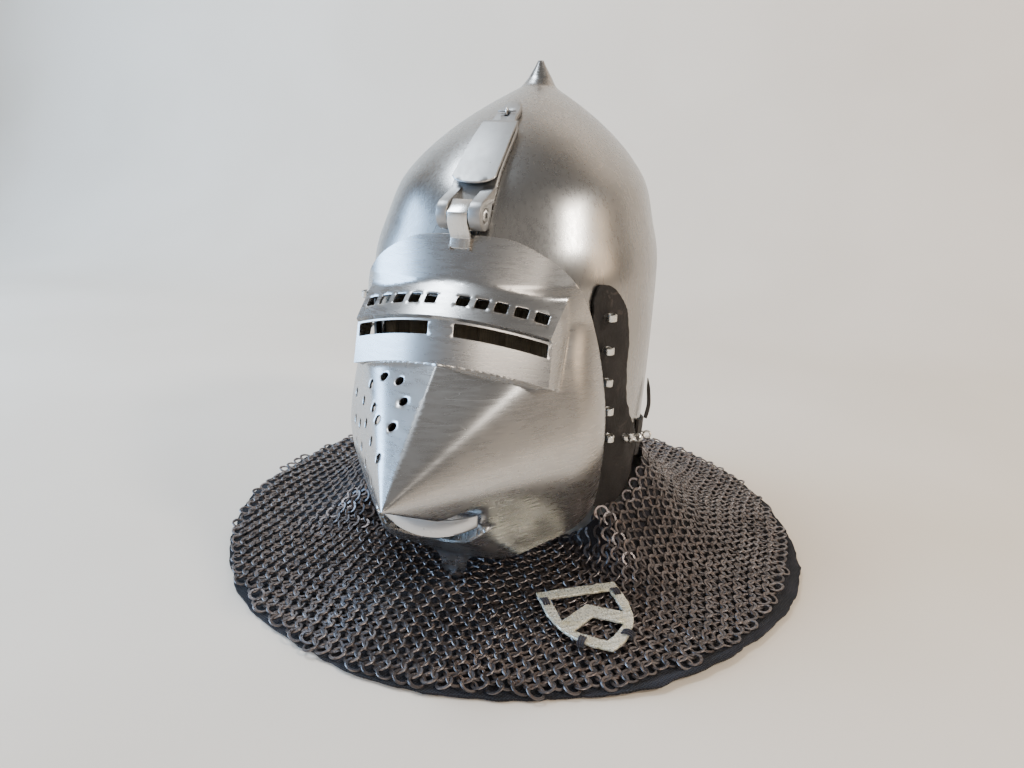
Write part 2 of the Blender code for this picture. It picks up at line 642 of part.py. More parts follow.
def make_leather(leather):
    """The leather band that carries the mail: a strip each side of the face, and the nape."""
    strip = ((47.5, 0.190), (48.5, 0.2080), (52, 0.2125), (57, 0.2085), (63.5, 0.1940), (66.0, 0.178),
             (67.0, 0.155), (68.5, 0.130), (74.5, 0.110), (81.5, 0.095), (83.5, 0.078), (81.0, 0.058),
             (72.0, 0.0475), (60.0, 0.0500), (52.0, 0.060), (48.5, 0.085), (47.2, 0.12), (47.0, 0.16))
    points, faces = flat_mesh([(-math.radians(a) * UNROLL, z) for a, z in strip], [], 0.0125)
    wrapped("leather_strip_right", on_skull, (points, faces), GAP, GAP + LEATHER, leather)
    wrapped("leather_strip_left", on_skull, (points * (-1, 1), faces[:, ::-1]), GAP, GAP + LEATHER,
            leather)
    angles = np.radians(np.linspace(85, 275, 25))
    top = [(a * UNROLL, vervelle_line(a) + 0.013) for a in angles]
    bottom = [(a * UNROLL, vervelle_line(a) - 0.016) for a in angles[::-1]]
    flat = flat_mesh(top + bottom, [], 0.015)
    wrapped("leather_nape_band", on_skull, flat, GAP, GAP + LEATHER, leather)
    angle = math.radians(92)
    base = on_skull([angle * UNROLL], [0.100], 0.0048)[0]
    thong = [base + np.array(p) for p in ((0, 0, 0), (0.001, 0.005, 0.009), (0.0, 0.006, 0.020),
                                          (-0.001, 0.003, 0.031))]
    tube("leather_thong", thong, 0.0018, 6, leather)


def vervelle_mesh(made_of):
    """One vervelle: a short tube along Z whose foot points along -Y, to the leather."""
    rings = []
    for radius, z in ((VERVELLE_RADIUS, -1), (VERVELLE_RADIUS, 1), (VERVELLE_BORE, 1),
                      (VERVELLE_BORE, -1)):
        rings.append([(x, y, z * VERVELLE_LENGTH / 2)
                      for x, y in circle((0, 0), radius, VERVELLE_SIDES)])
    points = [p for ring in rings for p in ring]
    sides = VERVELLE_SIDES
    faces = []
    for row in range(4):
        for i in range(sides):
            j = (i + 1) % sides
            after = (row + 1) % 4
            faces.append((row * sides + i, row * sides + j, after * sides + j, after * sides + i))
    made = mesh_object("vervelle", points, faces, made_of)
    shape = bmesh.new()
    shape.from_mesh(made.data)
    foot = min(shape.faces, key=lambda face: face.calc_center_median().y)
    grown = bmesh.ops.extrude_discrete_faces(shape, faces=[foot])["faces"]
    bmesh.ops.scale(shape, vec=(0.9, 1, 0.6), verts=grown[0].verts)
    bmesh.ops.translate(shape, vec=(0, -0.0014, 0), verts=grown[0].verts)
    shape.to_mesh(made.data)
    shape.free()
    mesh = made.data
    bpy.data.objects.remove(made)
    return mesh


def make_vervelles(bright_steel):
    mesh = vervelle_mesh(bright_steel)
    places = []
    for z in STRIP_VERVELLE_Z:
        degrees = 53.5 + 4.0 * max(0.0, (0.155 - z) / 0.05)
        places.append((math.radians(degrees), z, 0.0))
    places += [(math.radians(a), float(vervelle_line(math.radians(a))), 1.0)
               for a in BACK_VERVELLE_DEGREES]
    rows = [(f"vervelle_left_{i + 1:02d}", *place) for i, place in enumerate(places)]
    rows += [(f"vervelle_right_{i + 1:02d}", -a, z, turn)
             for i, (a, z, turn) in enumerate(places)]
    rows.append(("vervelle_nape", math.pi, float(vervelle_line(math.pi)), 1.0))
    for name, angle, z, turn in rows:
        lift = GAP + LEATHER + GAP + 0.0014 + VERVELLE_RADIUS * math.cos(math.pi / VERVELLE_SIDES)
        centre, further = (on_skull([angle * UNROLL], [z], lift + extra)[0] for extra in (0, 0.001))
        out = Vector(further - centre).normalized()
        step = 0.02 * (1 if angle > 0 else -1)
        if turn:
            next_angle = angle + step
            ahead = on_skull([next_angle * UNROLL], [float(vervelle_line(next_angle))], lift)[0]
        else:
            ahead = on_skull([angle * UNROLL], [z + 0.002], lift)[0]
        row = Vector(ahead - centre).normalized()
        row = (row - out * row.dot(out)).normalized()
        made = bpy.data.objects.new(name, mesh)
        made.matrix_world = Matrix.Translation(centre) @ Matrix(
            (out.cross(row), out, row)).transposed().to_4x4()
        bpy.context.scene.collection.objects.link(made)


def neck(angle):
    """Neck edge of the mail: under the visor in front, close round the leather at the back."""
    known = np.array(NECK)
    degrees = np.degrees(np.abs(angle))
    x, y, z = (np.interp(degrees, known[:, 0], column) for column in known[:, 1:].T)
    return np.column_stack([x * np.sign(angle), y, z])


def aventail(angle, share, drop):
    """Point of the aventail from its neck (share 0) to the mail's edge (share 1), below its top."""
    inner = neck(angle)
    edge = MAIL_RADIUS * np.column_stack([np.sin(angle), -np.cos(angle)])
    across = inner[:, :2] + (edge - inner[:, :2]) * share
    z = MAIL_TOP + (inner[:, 2] - MAIL_TOP) * max(1 - share / FLAT_SHARE, 0) ** NECK_FLARE
    return np.column_stack([across, z - drop])


def ring_sheet(name, shares, top_drop, thickness, made_of):
    """A closed ring of cloth or mail between the neck and the edge."""
    columns = 48
    angles = np.linspace(-math.pi, math.pi, columns, endpoint=False)
    rows = [(share, top_drop) for share in shares]
    rows += [(share, top_drop + thickness) for share in shares[::-1]]
    points = []
    for share, drop in rows:
        points += list(aventail(angles, share, drop))
    faces = []
    for row in range(len(rows)):
        after = (row + 1) % len(rows)
        inner, outer = (row, after) if row < len(shares) else (after, row)
        for i in range(columns):
            j = (i + 1) % columns
            faces.append((inner * columns + i, inner * columns + j, outer * columns + j))
            faces.append((inner * columns + i, outer * columns + j, outer * columns + i))
    return mesh_object(name, points, faces, made_of)


def make_aventail(mail, cloth):
    shares = (0.0, 0.15, 0.33, 0.55, 0.78, 1.0)
    ring_sheet("aventail_mail", shares, 0.0, MAIL_THICKNESS, mail)
    drop = MAIL_THICKNESS + GAP
    ring_sheet("aventail_lining", (*shares, LINING_SHARE), drop, MAIL_TOP - drop, cloth)


def make_badge(silver):
    """A heater shield with one chevron, cut out of sheet, lying on the mail in front."""
    half = [(0, 0.028), (0.028, 0.028), (0.028, 0.004), (0.0235, -0.013), (0.013, -0.028), (0, -0.037)]
    upper = [(0.0, 0.0085), (0.0215, -0.0045), (0.0215, 0.0205), (-0.0215, 0.0205), (-0.0215, -0.0045)]
    lower = [(0.0, -0.0035), (0.0175, -0.0145), (0.0085, -0.0225), (0.0, -0.0285),
             (-0.0085, -0.0225), (-0.0175, -0.0145)]
    flat = flat_mesh(mirrored(half), [upper, lower], 1.0)
    tilt = Matrix.Translation((0.1003, -0.1277, MAIL_TOP + 0.0028)) @ Matrix.Rotation(0.61, 4, "Z")
    tilt = tilt @ Matrix.Rotation(0.02, 4, "X")
    wrapped("badge_shield",
            lambda x, y, lift: np.array([tilt @ Vector((a, b, lift)) for a, b in zip(x, y)]),
            flat, 0.0, 0.0018, silver)


def make_liner(cloth):
    """Padded liner inside the skull: a dome that stops above the brow and the ears."""
    columns = SKULL_COLUMNS
    angles = np.linspace(0, 2 * math.pi, columns, endpoint=False)
    turned = np.degrees(np.arccos(np.cos(angles)))
    bottom = np.interp(turned, (0, 50, 64, 180), (0.209, 0.209, 0.118, 0.098))
    levels = (0.0, 0.20, 0.40, 0.57, 0.72, 0.85, 0.95)
    points = []
    for lift, rows in ((-SKULL_PLATE - 0.0026, levels), (-SKULL_PLATE - 0.0115, levels[::-1])):
        for level in rows:
            points += list(on_skull(angles * UNROLL, bottom + (0.318 - bottom) * level, lift))
    count = 2 * len(levels)
    faces = []
    for row in range(count):
        after = (row + 1) % count
        if row == len(levels) - 1:
            continue
        for i in range(columns):
            j = (i + 1) % columns
            faces.append((row * columns + i, row * columns + j,
                          after * columns + j, after * columns + i))
    top, under = len(levels) - 1, len(levels)
    faces.append(tuple(top * columns + i for i in range(columns)))
    faces.append(tuple(under * columns + i for i in range(columns)))
    mesh_object("helmet_liner", points, faces, cloth)


def make_chin_strap(leather, bright_steel):
    """Two strap halves from the ears to a frame buckle under the wearer's left jaw."""
    def strap(x0, z0, x1, z1, sag):
        share = np.linspace(0, 1, 9)
        x = x0 + (x1 - x0) * share
        z = z0 + (z1 - z0) * share - sag * np.sin(math.pi * share)
        return x, z

    for name, ends in (("chin_strap_right", (-0.0800, 0.130, 0.0195, 0.052, 0.022)),
                       ("chin_strap_left", (0.0800, 0.130, 0.0405, 0.0655, 0.006))):
        x, z = strap(*ends)
        along_x, along_z = np.gradient(x), np.gradient(z)
        length = np.hypot(along_x, along_z)
        points = []
        for lift in (0.0, 0.0022):
            for y in (-0.012, 0.006):
                points += list(np.column_stack([x - along_z / length * lift, np.full(9, y - 0.02),
                                                z + along_x / length * lift]))
        faces = []
        for a, b in ((0, 1), (1, 3), (3, 2), (2, 0)):
            faces += [(a * 9 + i, b * 9 + i, b * 9 + i + 1, a * 9 + i + 1) for i in range(8)]
        faces += [(0, 9, 27, 18), (8, 17, 35, 26)]
        mesh_object(name, points, faces, leather)
    frame = [(-0.0125, 0.0085), (-0.0125, -0.0085), (0.0125, -0.0085), (0.0125, 0.0085)]
    window = [(-0.0100, 0.0062), (-0.0100, -0.0062), (0.0100, -0.0062), (0.0100, 0.0062)]
    place = Matrix.Translation((0.0300, -0.023, 0.0577)) @ Matrix.Rotation(-0.58, 4, "Y")
    wrapped("chin_buckle",
            lambda a, b, lift: np.array([place @ Vector((q, p, lift)) for p, q in zip(a, b)]),
            flat_mesh(frame, [window], 1.0), -0.0011, 0.0011, bright_steel)


def build():
    for old in list(bpy.data.objects):
        bpy.data.objects.remove(old)
    steel = material("polished_steel", (0.62, 0.62, 0.61), 1.0, 0.30)
    grey_steel = material("hinge_steel", (0.40, 0.39, 0.38), 1.0, 0.42)
    bright_steel = material("bright_steel", (0.72, 0.71, 0.69), 1.0, 0.22)
    mail = material("dark_mail", (0.13, 0.12, 0.12), 0.9, 0.45)
    leather = material("worn_leather", (0.055, 0.048, 0.045), 0.0, 0.65)
    black_cloth = material("black_cloth", (0.012, 0.012, 0.016), 0.0, 0.95)
    linen = material("undyed_linen", (0.62, 0.55, 0.44), 0.0, 0.9)
    silver = material("silver_finish", (0.78, 0.77, 0.70), 0.6, 0.55)
    make_skull(steel)
    make_visor(steel)
    make_mouth_guard(steel)
    make_hinge(grey_steel, bright_steel)
    make_leather(leather)
    make_vervelles(bright_steel)
    make_aventail(mail, black_cloth)
    make_badge(silver)
    make_liner(linen)
    make_chin_strap(leather, bright_steel)


build()
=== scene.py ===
"""Looks of the knight helmet: fine pieces, materials, floor, lights and camera."""

import math

import bmesh
import bpy
import numpy as np
from mathutils import Matrix, Vector
from mathutils.geometry import delaunay_2d_cdt
from mathutils.kdtree import KDTree


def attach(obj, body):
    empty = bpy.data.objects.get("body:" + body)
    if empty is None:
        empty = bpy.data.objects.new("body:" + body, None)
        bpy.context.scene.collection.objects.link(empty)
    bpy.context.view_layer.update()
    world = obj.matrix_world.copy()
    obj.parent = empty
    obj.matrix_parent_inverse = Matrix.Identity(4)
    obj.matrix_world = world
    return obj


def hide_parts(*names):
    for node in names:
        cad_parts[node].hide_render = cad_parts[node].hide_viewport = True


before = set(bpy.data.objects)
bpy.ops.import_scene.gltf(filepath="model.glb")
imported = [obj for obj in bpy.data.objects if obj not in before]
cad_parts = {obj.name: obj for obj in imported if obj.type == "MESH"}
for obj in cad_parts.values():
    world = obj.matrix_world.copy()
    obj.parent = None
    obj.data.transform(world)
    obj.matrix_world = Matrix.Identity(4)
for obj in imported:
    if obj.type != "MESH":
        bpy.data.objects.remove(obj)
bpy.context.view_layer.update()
scene = bpy.context.scene
random = np.random.default_rng(7)

# ---- sizes in metres, most of them the same as in the CAD

GAP = 0.0003
SKULL_HALF_WIDTH = 0.1038
SKULL_FRONT = 0.112
SKULL_BACK = 0.130
WIDEST_Z = 0.210
OGIVE_Z = 0.345
APEX_Y = 0.043
FINIAL_Z = 0.357
FINIAL_TIP_RADIUS = 0.0022
FINIAL_ROOT_RADIUS = 0.0140
FINIAL_HEIGHT = 0.020
SKULL_PLATE = 0.0021
NAPE_RIM_Z = 0.040
CORNER_RIM_Z = 0.087
FACE_HALF_WIDTH = 0.0745
FACE_TOP_Z = 0.204
VISOR_PLATE = 0.0018
TIP_Y = -0.215
TIP_Z = 0.1055
CONE_DEPTH = 0.095
FLANKS = ((19.0, 0.0805), (74.0, 0.0750), (109.0, 0.0740))
HOLLOW_DISTANCE = 0.054
CHIN_DISTANCE = 0.0764
FLANK_ROUNDING = 14.0
CHEEK_HALF_WIDTH = 0.0915
CHEEK_Z = 0.112
BARREL_Z = (0.00, 0.06, 0.12, 0.165, 0.190, 0.2145, 0.2425, 0.26)
BARREL_FRONT = (0.100, 0.116, 0.125, 0.126, 0.1235, 0.118, 0.1042, 0.092)
BARREL_HALF_WIDTH = (0.095, 0.0955, 0.0985, 0.0965, 0.097, 0.100, 0.102, 0.102)
BARREL_POWER = 2.5
UNROLL = 0.11  # metres of u for each radian round the helmet
FRAME_TOP = (0.118, 0.2155)
FRAME_RIDGE = (0.1395, 0.1985)
FRAME_STEP = (0.1370, 0.1955)
FRAME_NOSE = (0.1435, 0.1700)
FRAME_UNDER = (0.1310, 0.1660)
FRAME_SECTION = (FRAME_TOP, FRAME_RIDGE, FRAME_STEP, FRAME_NOSE, FRAME_UNDER)
FRAME_PLAN_RADIUS = 0.150
FRAME_DROP = 0.0097
FRAME_DROP_AT = 0.0615
FRAME_END = (0.99, 0.134, 0.053, 0.0911)  # normal and distance of the flat end
SIGHT_X = (0.0082, 0.0636)
SIGHT_Z = (0.1863, 0.1945)
VENT_Z = (0.2041, 0.2093)
VENT_FIRST_X = 0.0063
VENT_WIDTH = 0.0083
VENT_PITCH = 0.0117
VENTS_A_SIDE = 5
BREATH_RADIUS = 0.0034
BREATHS = (  # (x, z) of each hole
    (-0.0230, 0.1576), (-0.0366, 0.1572), (-0.0475, 0.1500), (-0.0140, 0.1495), (-0.0371, 0.1410),
    (-0.0549, 0.1370), (-0.0292, 0.1375), (-0.0723, 0.1340), (-0.0151, 0.1378), (-0.0448, 0.1283),
    (-0.0313, 0.1250), (-0.0174, 0.1229), (-0.0570, 0.1218), (-0.0680, 0.1190), (-0.0486, 0.1120),
    (-0.0377, 0.1080), (-0.0630, 0.1060), (-0.0230, 0.1060),
)
GUARD_HALF_WIDTH = 0.0355
GUARD_TOP = (0.1625, 0.0760)
GUARD_BOTTOM = (0.1650, 0.0658)
GUARD_BEND = (0.0036, 0.0070)
GUARD_RISE = (0.0080, 0.0104)
GUARD_PLATE = 0.0015
GUARD_LENGTH = 0.0105
LEDGE_HEIGHT = 0.0012
LEDGE_MIDDLE = (0.1575, 0.0596)
SCOOP_CENTRE = (0.1725, 0.0715)
SCOOP_SIZE = (0.046, 0.0195, 0.0140)
PIN_Y = -0.1045
PIN_Z = 0.2545
PIN_RADIUS = 0.0040
BORE_RADIUS = 0.0044
KNUCKLE_RADIUS = 0.0093
LEAF_X = (-0.0068, 0.0064)
OUTER_KNUCKLES = ((-0.0142, -0.0072), (0.0068, 0.0148))
BASE_TOP = 0.0043
COVER_PLATE = 0.0019
STAPLE_Z = 0.3130
LEATHER = 0.0022
VERVELLE_RADIUS = 0.0034
VERVELLE_BORE = 0.0019
VERVELLE_LENGTH = 0.0050
STRIP_VERVELLE_Z = (0.192, 0.170, 0.148, 0.127, 0.1065)
BACK_VERVELLE_DEGREES = (69.5, 77.5, 98.0, 122.0, 150.0)
MAIL_RADIUS = 0.2215
NECK = (  # the mail's inner edge: (degrees from the front, x, y, z)
    (0, 0.0, -0.040, 0.012), (30, 0.045, -0.040, 0.012), (45, 0.066, -0.046, 0.018),
    (53, 0.080, -0.056, 0.040), (60, 0.0902, -0.056, 0.050), (72, 0.0997, -0.0345, 0.050),
    (82, 0.1050, -0.015, 0.060), (92, 0.1073, 0.004, 0.073), (101, 0.1055, 0.025, 0.068),
    (110, 0.1010, 0.0445, 0.063), (122, 0.0912, 0.069, 0.0575), (136, 0.0747, 0.0935, 0.053),
    (150, 0.0538, 0.1125, 0.049), (165, 0.0279, 0.1255, 0.047), (180, 0.0, 0.130, 0.0465),
)
NECK_FLARE = 2.2
FLAT_SHARE = 0.75
MAIL_TOP = 0.0068
MAIL_THICKNESS = 0.0044
LOWEST_RING_Z = 0.0021
CLOTH = 0.0014
LOWEST_CLOTH_Z = 0.0015

# ---- how meshes are made

SHARP_DEGREES = 40.0
SQUARE_RIM = 0.3  # where a rim that doesn't bulge is divided, as a share of the thickness
NO_GRID = 1.0  # a spacing wider than any piece, so that a flat face gets no points inside

# ---- node materials


class Nodes:
    """A material's node tree, built with short calls."""

    def __init__(self, name):
        self.material = bpy.data.materials.new(name)
        self.material.use_nodes = True
        self.tree = self.material.node_tree
        self.place = self.node("TexCoord", {}, "Object")

    def feed(self, sockets, values):
        """Links each named socket, or sets the number, vector or colour that it holds."""
        for key, value in values.items():
            if isinstance(value, tuple):
                sockets[key].default_value = (*value, 1.0)
            elif isinstance(value, (int, float, Vector)):
                sockets[key].default_value = value
            else:
                self.tree.links.new(value, sockets[key])

    def node(self, kind, inputs, output, **settings):
        made = self.tree.nodes.new("ShaderNode" + kind)
        for key, value in settings.items():
            setattr(made, key, value)
        self.feed(made.inputs, inputs)
        return made.outputs[output]

    def scaled(self, scale, turn=(0, 0, 0)):
        inputs = {"Vector": self.place, "Scale": Vector(scale), "Rotation": Vector(turn)}
        return self.node("Mapping", inputs, "Vector")

    def noise(self, scale, detail=3.0, roughness=0.5, vector=None, distortion=0.0):
        inputs = {"Vector": vector or self.place, "Scale": scale, "Detail": detail,
                  "Roughness": roughness, "Distortion": distortion}
        return self.node("TexNoise", inputs, "Fac")

    def cells(self, scale, vector=None, output="Distance", feature="F1"):
        inputs = {"Vector": vector or self.place, "Scale": scale}
        return self.node("TexVoronoi", inputs, output, feature=feature)

    def math(self, operation, a, b=0.0, c=0.0):
        return self.node("Math", {0: a, 1: b, 2: c}, 0, operation=operation)

    def ramp(self, value, low, high, to_low=0.0, to_high=1.0):
        inputs = {"Value": value, "From Min": low, "From Max": high, "To Min": to_low,
                  "To Max": to_high}
        return self.node("MapRange", inputs, "Result", interpolation_type="SMOOTHSTEP")

    def mix(self, factor, a, b):
        return self.node("Mix", {0: factor, 6: a, 7: b}, 2, data_type="RGBA")

    def over(self, tone, colour, mask, low, high, strength):
        """Lays a colour over a tone where a mask rises from low to high."""
        return self.mix(self.math("MULTIPLY", self.ramp(mask, low, high), strength), tone, colour)

    def bump(self, height, strength, distance, normal=None):
        inputs = {"Height": height, "Strength": strength, "Distance": distance}
        return self.node("Bump", {**inputs, "Normal": normal} if normal else inputs, "Normal")

    def finish(self, colour, roughness, normal, **constants):
        sockets = {"Base Color": colour, "Roughness": roughness, "Normal": normal}
        sockets.update((key.replace("_", " "), value) for key, value in constants.items())
        self.feed(self.tree.nodes["Principled BSDF"].inputs, sockets)
        return self.material


def shaded(colour, *shares):
    """The colour times one share, or a share for each channel."""
    return tuple(c * s for c, s in zip(colour, shares * (3 // len(shares))))


def steel_material(name, colour, roughness, brush, pits=0.5, waves=1.0, stain=0.25):
    """Satin steel: fine brushing, broad polishing marks, a few scratches and small dark pits."""
    n = Nodes(name)
    hair = n.noise(1.0, 4.0, 0.6, n.scaled(brush))
    cross = n.noise(1.0, 3.0, 0.6, n.scaled((60, 240, 420), (0.5, 0.3, 0.4)))
    broad = n.noise(24.0, 4.0, 0.6, distortion=0.6)
    cloud = n.noise(9.0, 3.0, 0.5)
    scratch = n.cells(1.0, n.scaled((26, 26, 300), (0.9, 0.5, 0.3)), feature="DISTANCE_TO_EDGE")
    scratch = n.math("MULTIPLY", n.ramp(scratch, 0.0, 0.012, 1.0, 0.0), n.ramp(cloud, 0.52, 0.62))
    spot = n.ramp(n.cells(210.0), 0.05, 0.16, 1.0, 0.0)
    spot = n.math("MULTIPLY", spot, n.ramp(n.noise(46.0, 2.0), 0.60, 0.68))
    spot = n.math("MULTIPLY", spot, pits)
    tone = n.mix(n.ramp(cloud, 0.3, 0.75), shaded(colour, 0.90), colour)
    tone = n.over(tone, shaded(colour, 0.80, 0.76, 0.70), broad, 0.45, 0.8, stain)
    tone = n.over(tone, shaded(colour, 0.72), hair, 0.35, 0.7, 0.22)
    tone = n.mix(spot, tone, (0.10, 0.085, 0.07))
    rough = n.math("MULTIPLY_ADD", hair, 0.16, roughness - 0.10)
    rough = n.math("ADD", rough, n.math("MULTIPLY", broad, 0.12))
    rough = n.math("ADD", rough, n.math("MULTIPLY", scratch, 0.10))
    height = n.math("ADD", n.math("MULTIPLY", hair, 0.5), n.math("MULTIPLY", cross, 0.35))
    height = n.math("SUBTRACT", height, n.math("MULTIPLY", scratch, 0.25))
    height = n.math("SUBTRACT", height, n.math("MULTIPLY", spot, 2.0))
    normal = n.bump(n.noise(16.0, 2.0), 0.35 * waves, 0.0016)
    return n.finish(tone, rough, n.bump(height, 0.20, 0.00012, normal), Metallic=1.0)


def mail_material():
    """Dark oiled iron: each ring has its own tone, with rubbed and slightly rusty patches."""
    n = Nodes("mail_iron")
    island = n.node("NewGeometry", {}, "Random Per Island")
    fine = n.noise(900.0, 4.0, 0.65)
    tone = n.mix(island, (0.070, 0.063, 0.064), (0.190, 0.170, 0.170))
    tone = n.over(tone, (0.145, 0.090, 0.065), n.noise(260.0, 3.0, 0.6), 0.5, 0.75, 0.55)
    tone = n.over(tone, (0.055, 0.050, 0.048), fine, 0.55, 0.75, 0.5)
    rough = n.math("MULTIPLY_ADD", fine, 0.28, 0.24)
    return n.finish(tone, rough, n.bump(fine, 0.5, 0.00025), Metallic=0.9)


def leather_material(name, colour, worn, scale=1.0):
    """Grained leather, with creases that are worn lighter."""
    n = Nodes(name)
    grain = n.cells(620.0 * scale, feature="SMOOTH_F1")
    crease = n.noise(70.0 * scale, 6.0, 0.7, distortion=1.4)
    patch = n.noise(30.0 * scale, 4.0, 0.6)
    tone = n.mix(n.ramp(patch, 0.35, 0.7), colour, shaded(colour, 0.45))
    tone = n.over(tone, worn, crease, 0.56, 0.72, 0.75)
    rough = n.math("MULTIPLY_ADD", crease, 0.3, 0.52)
    normal = n.bump(grain, 0.5, 0.0003, n.bump(crease, 0.7, 0.0012))
    return n.finish(tone, rough, normal, Specular_IOR_Level=0.3)


def cloth_material(name, colour, light, threads, sheen):
    """Plain weave over object coordinates: lint, faded patches and painted shade in its gaps."""
    n = Nodes(name)
    warp, weft = (
        n.node("TexWave", {"Vector": n.scaled((1, 1, 1), (0, 0, turn)), "Scale": threads,
                           "Distortion": 0.6, "Detail": 1.0}, "Fac",
               wave_type="BANDS", bands_direction="X")
        for turn in (0.35, 0.35 + math.pi / 2))
    weave = n.math("MAXIMUM", warp, weft)
    fuzz = n.noise(1500.0, 3.0, 0.7)
    tone = n.mix(n.ramp(n.noise(40.0, 4.0, 0.6), 0.4, 0.75), colour, light)
    tone = n.over(tone, tuple(min(1, c * 1.6) for c in light), fuzz, 0.6, 0.75, 0.5)
    # Painted shade: the gaps between the threads are darkened toward half the cloth's colour.
    weave_gap_shade = n.math("MULTIPLY", n.ramp(weave, 0.2, 0.9, 1.0, 0.0), 0.35)
    tone = n.mix(weave_gap_shade, tone, shaded(colour, 0.5))
    normal = n.bump(n.math("ADD", weave, n.math("MULTIPLY", fuzz, 0.8)), 0.6, 0.0006)
    return n.finish(tone, 0.92, normal, Sheen_Weight=sheen, Specular_IOR_Level=0.2)


def glitter_material():
    """Coarse silver glitter in lacquer: each flake has its own tilt and tone."""
    n = Nodes("silver_glitter")
    flake = n.node("SeparateColor", {"Color": n.cells(1250.0, output="Color")}, "Red")
    red, green, blue = flake.node.outputs
    tone = n.mix(red, (0.60, 0.57, 0.44), (0.94, 0.92, 0.80))
    tone = n.mix(n.ramp(n.noise(120.0, 3.0), 0.5, 0.75), tone, (0.66, 0.61, 0.42))
    rough = n.math("MULTIPLY_ADD", green, 0.45, 0.18)
    return n.finish(tone, rough, n.bump(blue, 0.9, 0.0008), Metallic=0.55, Coat_Weight=0.3,
                    Coat_Roughness=0.15)


def backdrop_material():
    """Pale paper with faint patches."""
    n = Nodes("studio_paper")
    fine = n.noise(90.0, 4.0, 0.6)
    patch = n.ramp(n.noise(3.0, 3.0, 0.5), 0.3, 0.7)
    tone = n.mix(patch, (0.715, 0.63, 0.53), (0.76, 0.675, 0.575))
    tone = n.over(tone, (0.55, 0.50, 0.45), fine, 0.6, 0.8, 0.12)
    return n.finish(tone, 0.85, n.bump(fine, 0.15, 0.0005))


skull_steel = steel_material("satin_skull", (0.40, 0.395, 0.39), 0.24, (420, 420, 30), stain=0.30)
visor_steel = steel_material("satin_visor", (0.50, 0.495, 0.49), 0.24, (90, 60, 620), waves=0.8)
guard_steel = steel_material("satin_guard", (0.62, 0.615, 0.61), 0.27, (60, 300, 500))
hinge_grey = steel_material("ground_grey", (0.36, 0.355, 0.35), 0.40, (300, 200, 60), 0.9)
hinge_bright = steel_material("turned_bright", (0.70, 0.69, 0.67), 0.22, (700, 60, 60), 0.3)
weld_steel = steel_material("weld_bead", (0.30, 0.27, 0.24), 0.42, (500, 500, 500), 1.0)
vervelle_steel = steel_material("vervelle_bright", (0.74, 0.73, 0.70), 0.24, (200, 200, 900), 0.3)
mail_iron = mail_material()
band_leather = leather_material("band_leather", (0.016, 0.014, 0.014), (0.060, 0.050, 0.045))
strap_leather = leather_material("strap_leather", (0.090, 0.055, 0.035), (0.20, 0.135, 0.09), 1.4)
black_felt = cloth_material("black_felt", (0.008, 0.008, 0.011), (0.018, 0.017, 0.024), 190.0, 0.08)
linen = cloth_material("undyed_linen", (0.46, 0.39, 0.29), (0.62, 0.55, 0.43), 230.0, 0.2)
black_thread = cloth_material("black_thread", (0.010, 0.009, 0.016), (0.035, 0.030, 0.050), 900.0,
                              0.3)
glitter = glitter_material()

# ---- mesh helpers


def smooth(mesh, degrees=SHARP_DEGREES):
    """Smooth shading, with the edges kept sharp that turn by more than some degrees."""
    mesh.shade_smooth()
    mesh.set_sharp_from_angle(angle=math.radians(degrees))


def piece(name, mesh, made_of, body, replaced=()):
    """An object that rides on a body and stands for CAD nodes."""
    made = bpy.data.objects.new(name, mesh)
    mesh.materials.append(made_of)
    scene.collection.objects.link(made)
    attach(made, body)
    if replaced:
        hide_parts(*replaced)
    return made


def mesh_object(name, points, faces, made_of, body, replaced=()):
    """A piece with a closed mesh, its faces turned outward."""
    mesh = bpy.data.meshes.new(name)
    mesh.from_pydata([tuple(map(float, p)) for p in points], [], faces)
    shape = bmesh.new()
    shape.from_mesh(mesh)
    bmesh.ops.recalc_face_normals(shape, faces=shape.faces)
    shape.to_mesh(mesh)
    shape.free()
    smooth(mesh)
    return piece(name, mesh, made_of, body, replaced)


def combined(made, others, operation):
    """Joins the object with others, or cuts them from it, and keeps only the result."""
    for other in others:
        step = made.modifiers.new("step", "BOOLEAN")
        step.operation, step.solver, step.object = operation, "EXACT", other
    graph = bpy.context.evaluated_depsgraph_get()
    mesh = bpy.data.meshes.new_from_object(made.evaluated_get(graph))
    made.modifiers.clear()
    made.data = mesh
    for other in others:
        bpy.data.objects.remove(other)
    smooth(mesh)


def bands(rows, columns, first=0):
    """Quads between successive rows of points, each row a closed loop."""
    return [(first + a * columns + i, first + a * columns + (i + 1) % columns,
             first + b * columns + (i + 1) % columns, first + b * columns + i)
            for a, b in zip(rows, rows[1:]) for i in range(columns)]


def unit(vectors):
    """Vectors scaled to length one."""
    return vectors / np.linalg.norm(vectors, axis=-1, keepdims=True)


def smooth_curve(points, steps):
    """A Catmull-Rom curve through the points of an open outline."""
    known = [np.array(point, float) for point in points]
    ends = [2 * known[0] - known[1], *known, 2 * known[-1] - known[-2]]
    curve = []
    for before, start, end, after in zip(ends, ends[1:], ends[2:], ends[3:]):
        for step in range(steps):
            t = step / steps
            curve.append(0.5 * (2 * start + (end - before) * t
                                + (2 * before - 5 * start + 4 * end - after) * t ** 2
                                + (3 * start - before - 3 * end + after) * t ** 3))
    return curve + [known[-1]]


def mirrored(half):
    """A closed outline from its half at +x, which starts and ends on the middle line."""
    return [tuple(p) for p in half] + [(-p[0], p[1]) for p in half[-2:0:-1]]


def inside(points, outline):
    """Which points lie inside a closed outline."""
    start = np.array(outline)
    end = np.roll(start, -1, axis=0)
    found = np.zeros(len(points), bool)
    for (x0, y0), (x1, y1) in zip(start, end):
        if y0 == y1:
            continue
        crosses = (points[:, 1] > min(y0, y1)) & (points[:, 1] <= max(y0, y1))
        found ^= crosses & (points[:, 0] < x0 + (points[:, 1] - y0) * (x1 - x0) / (y1 - y0))
    return found


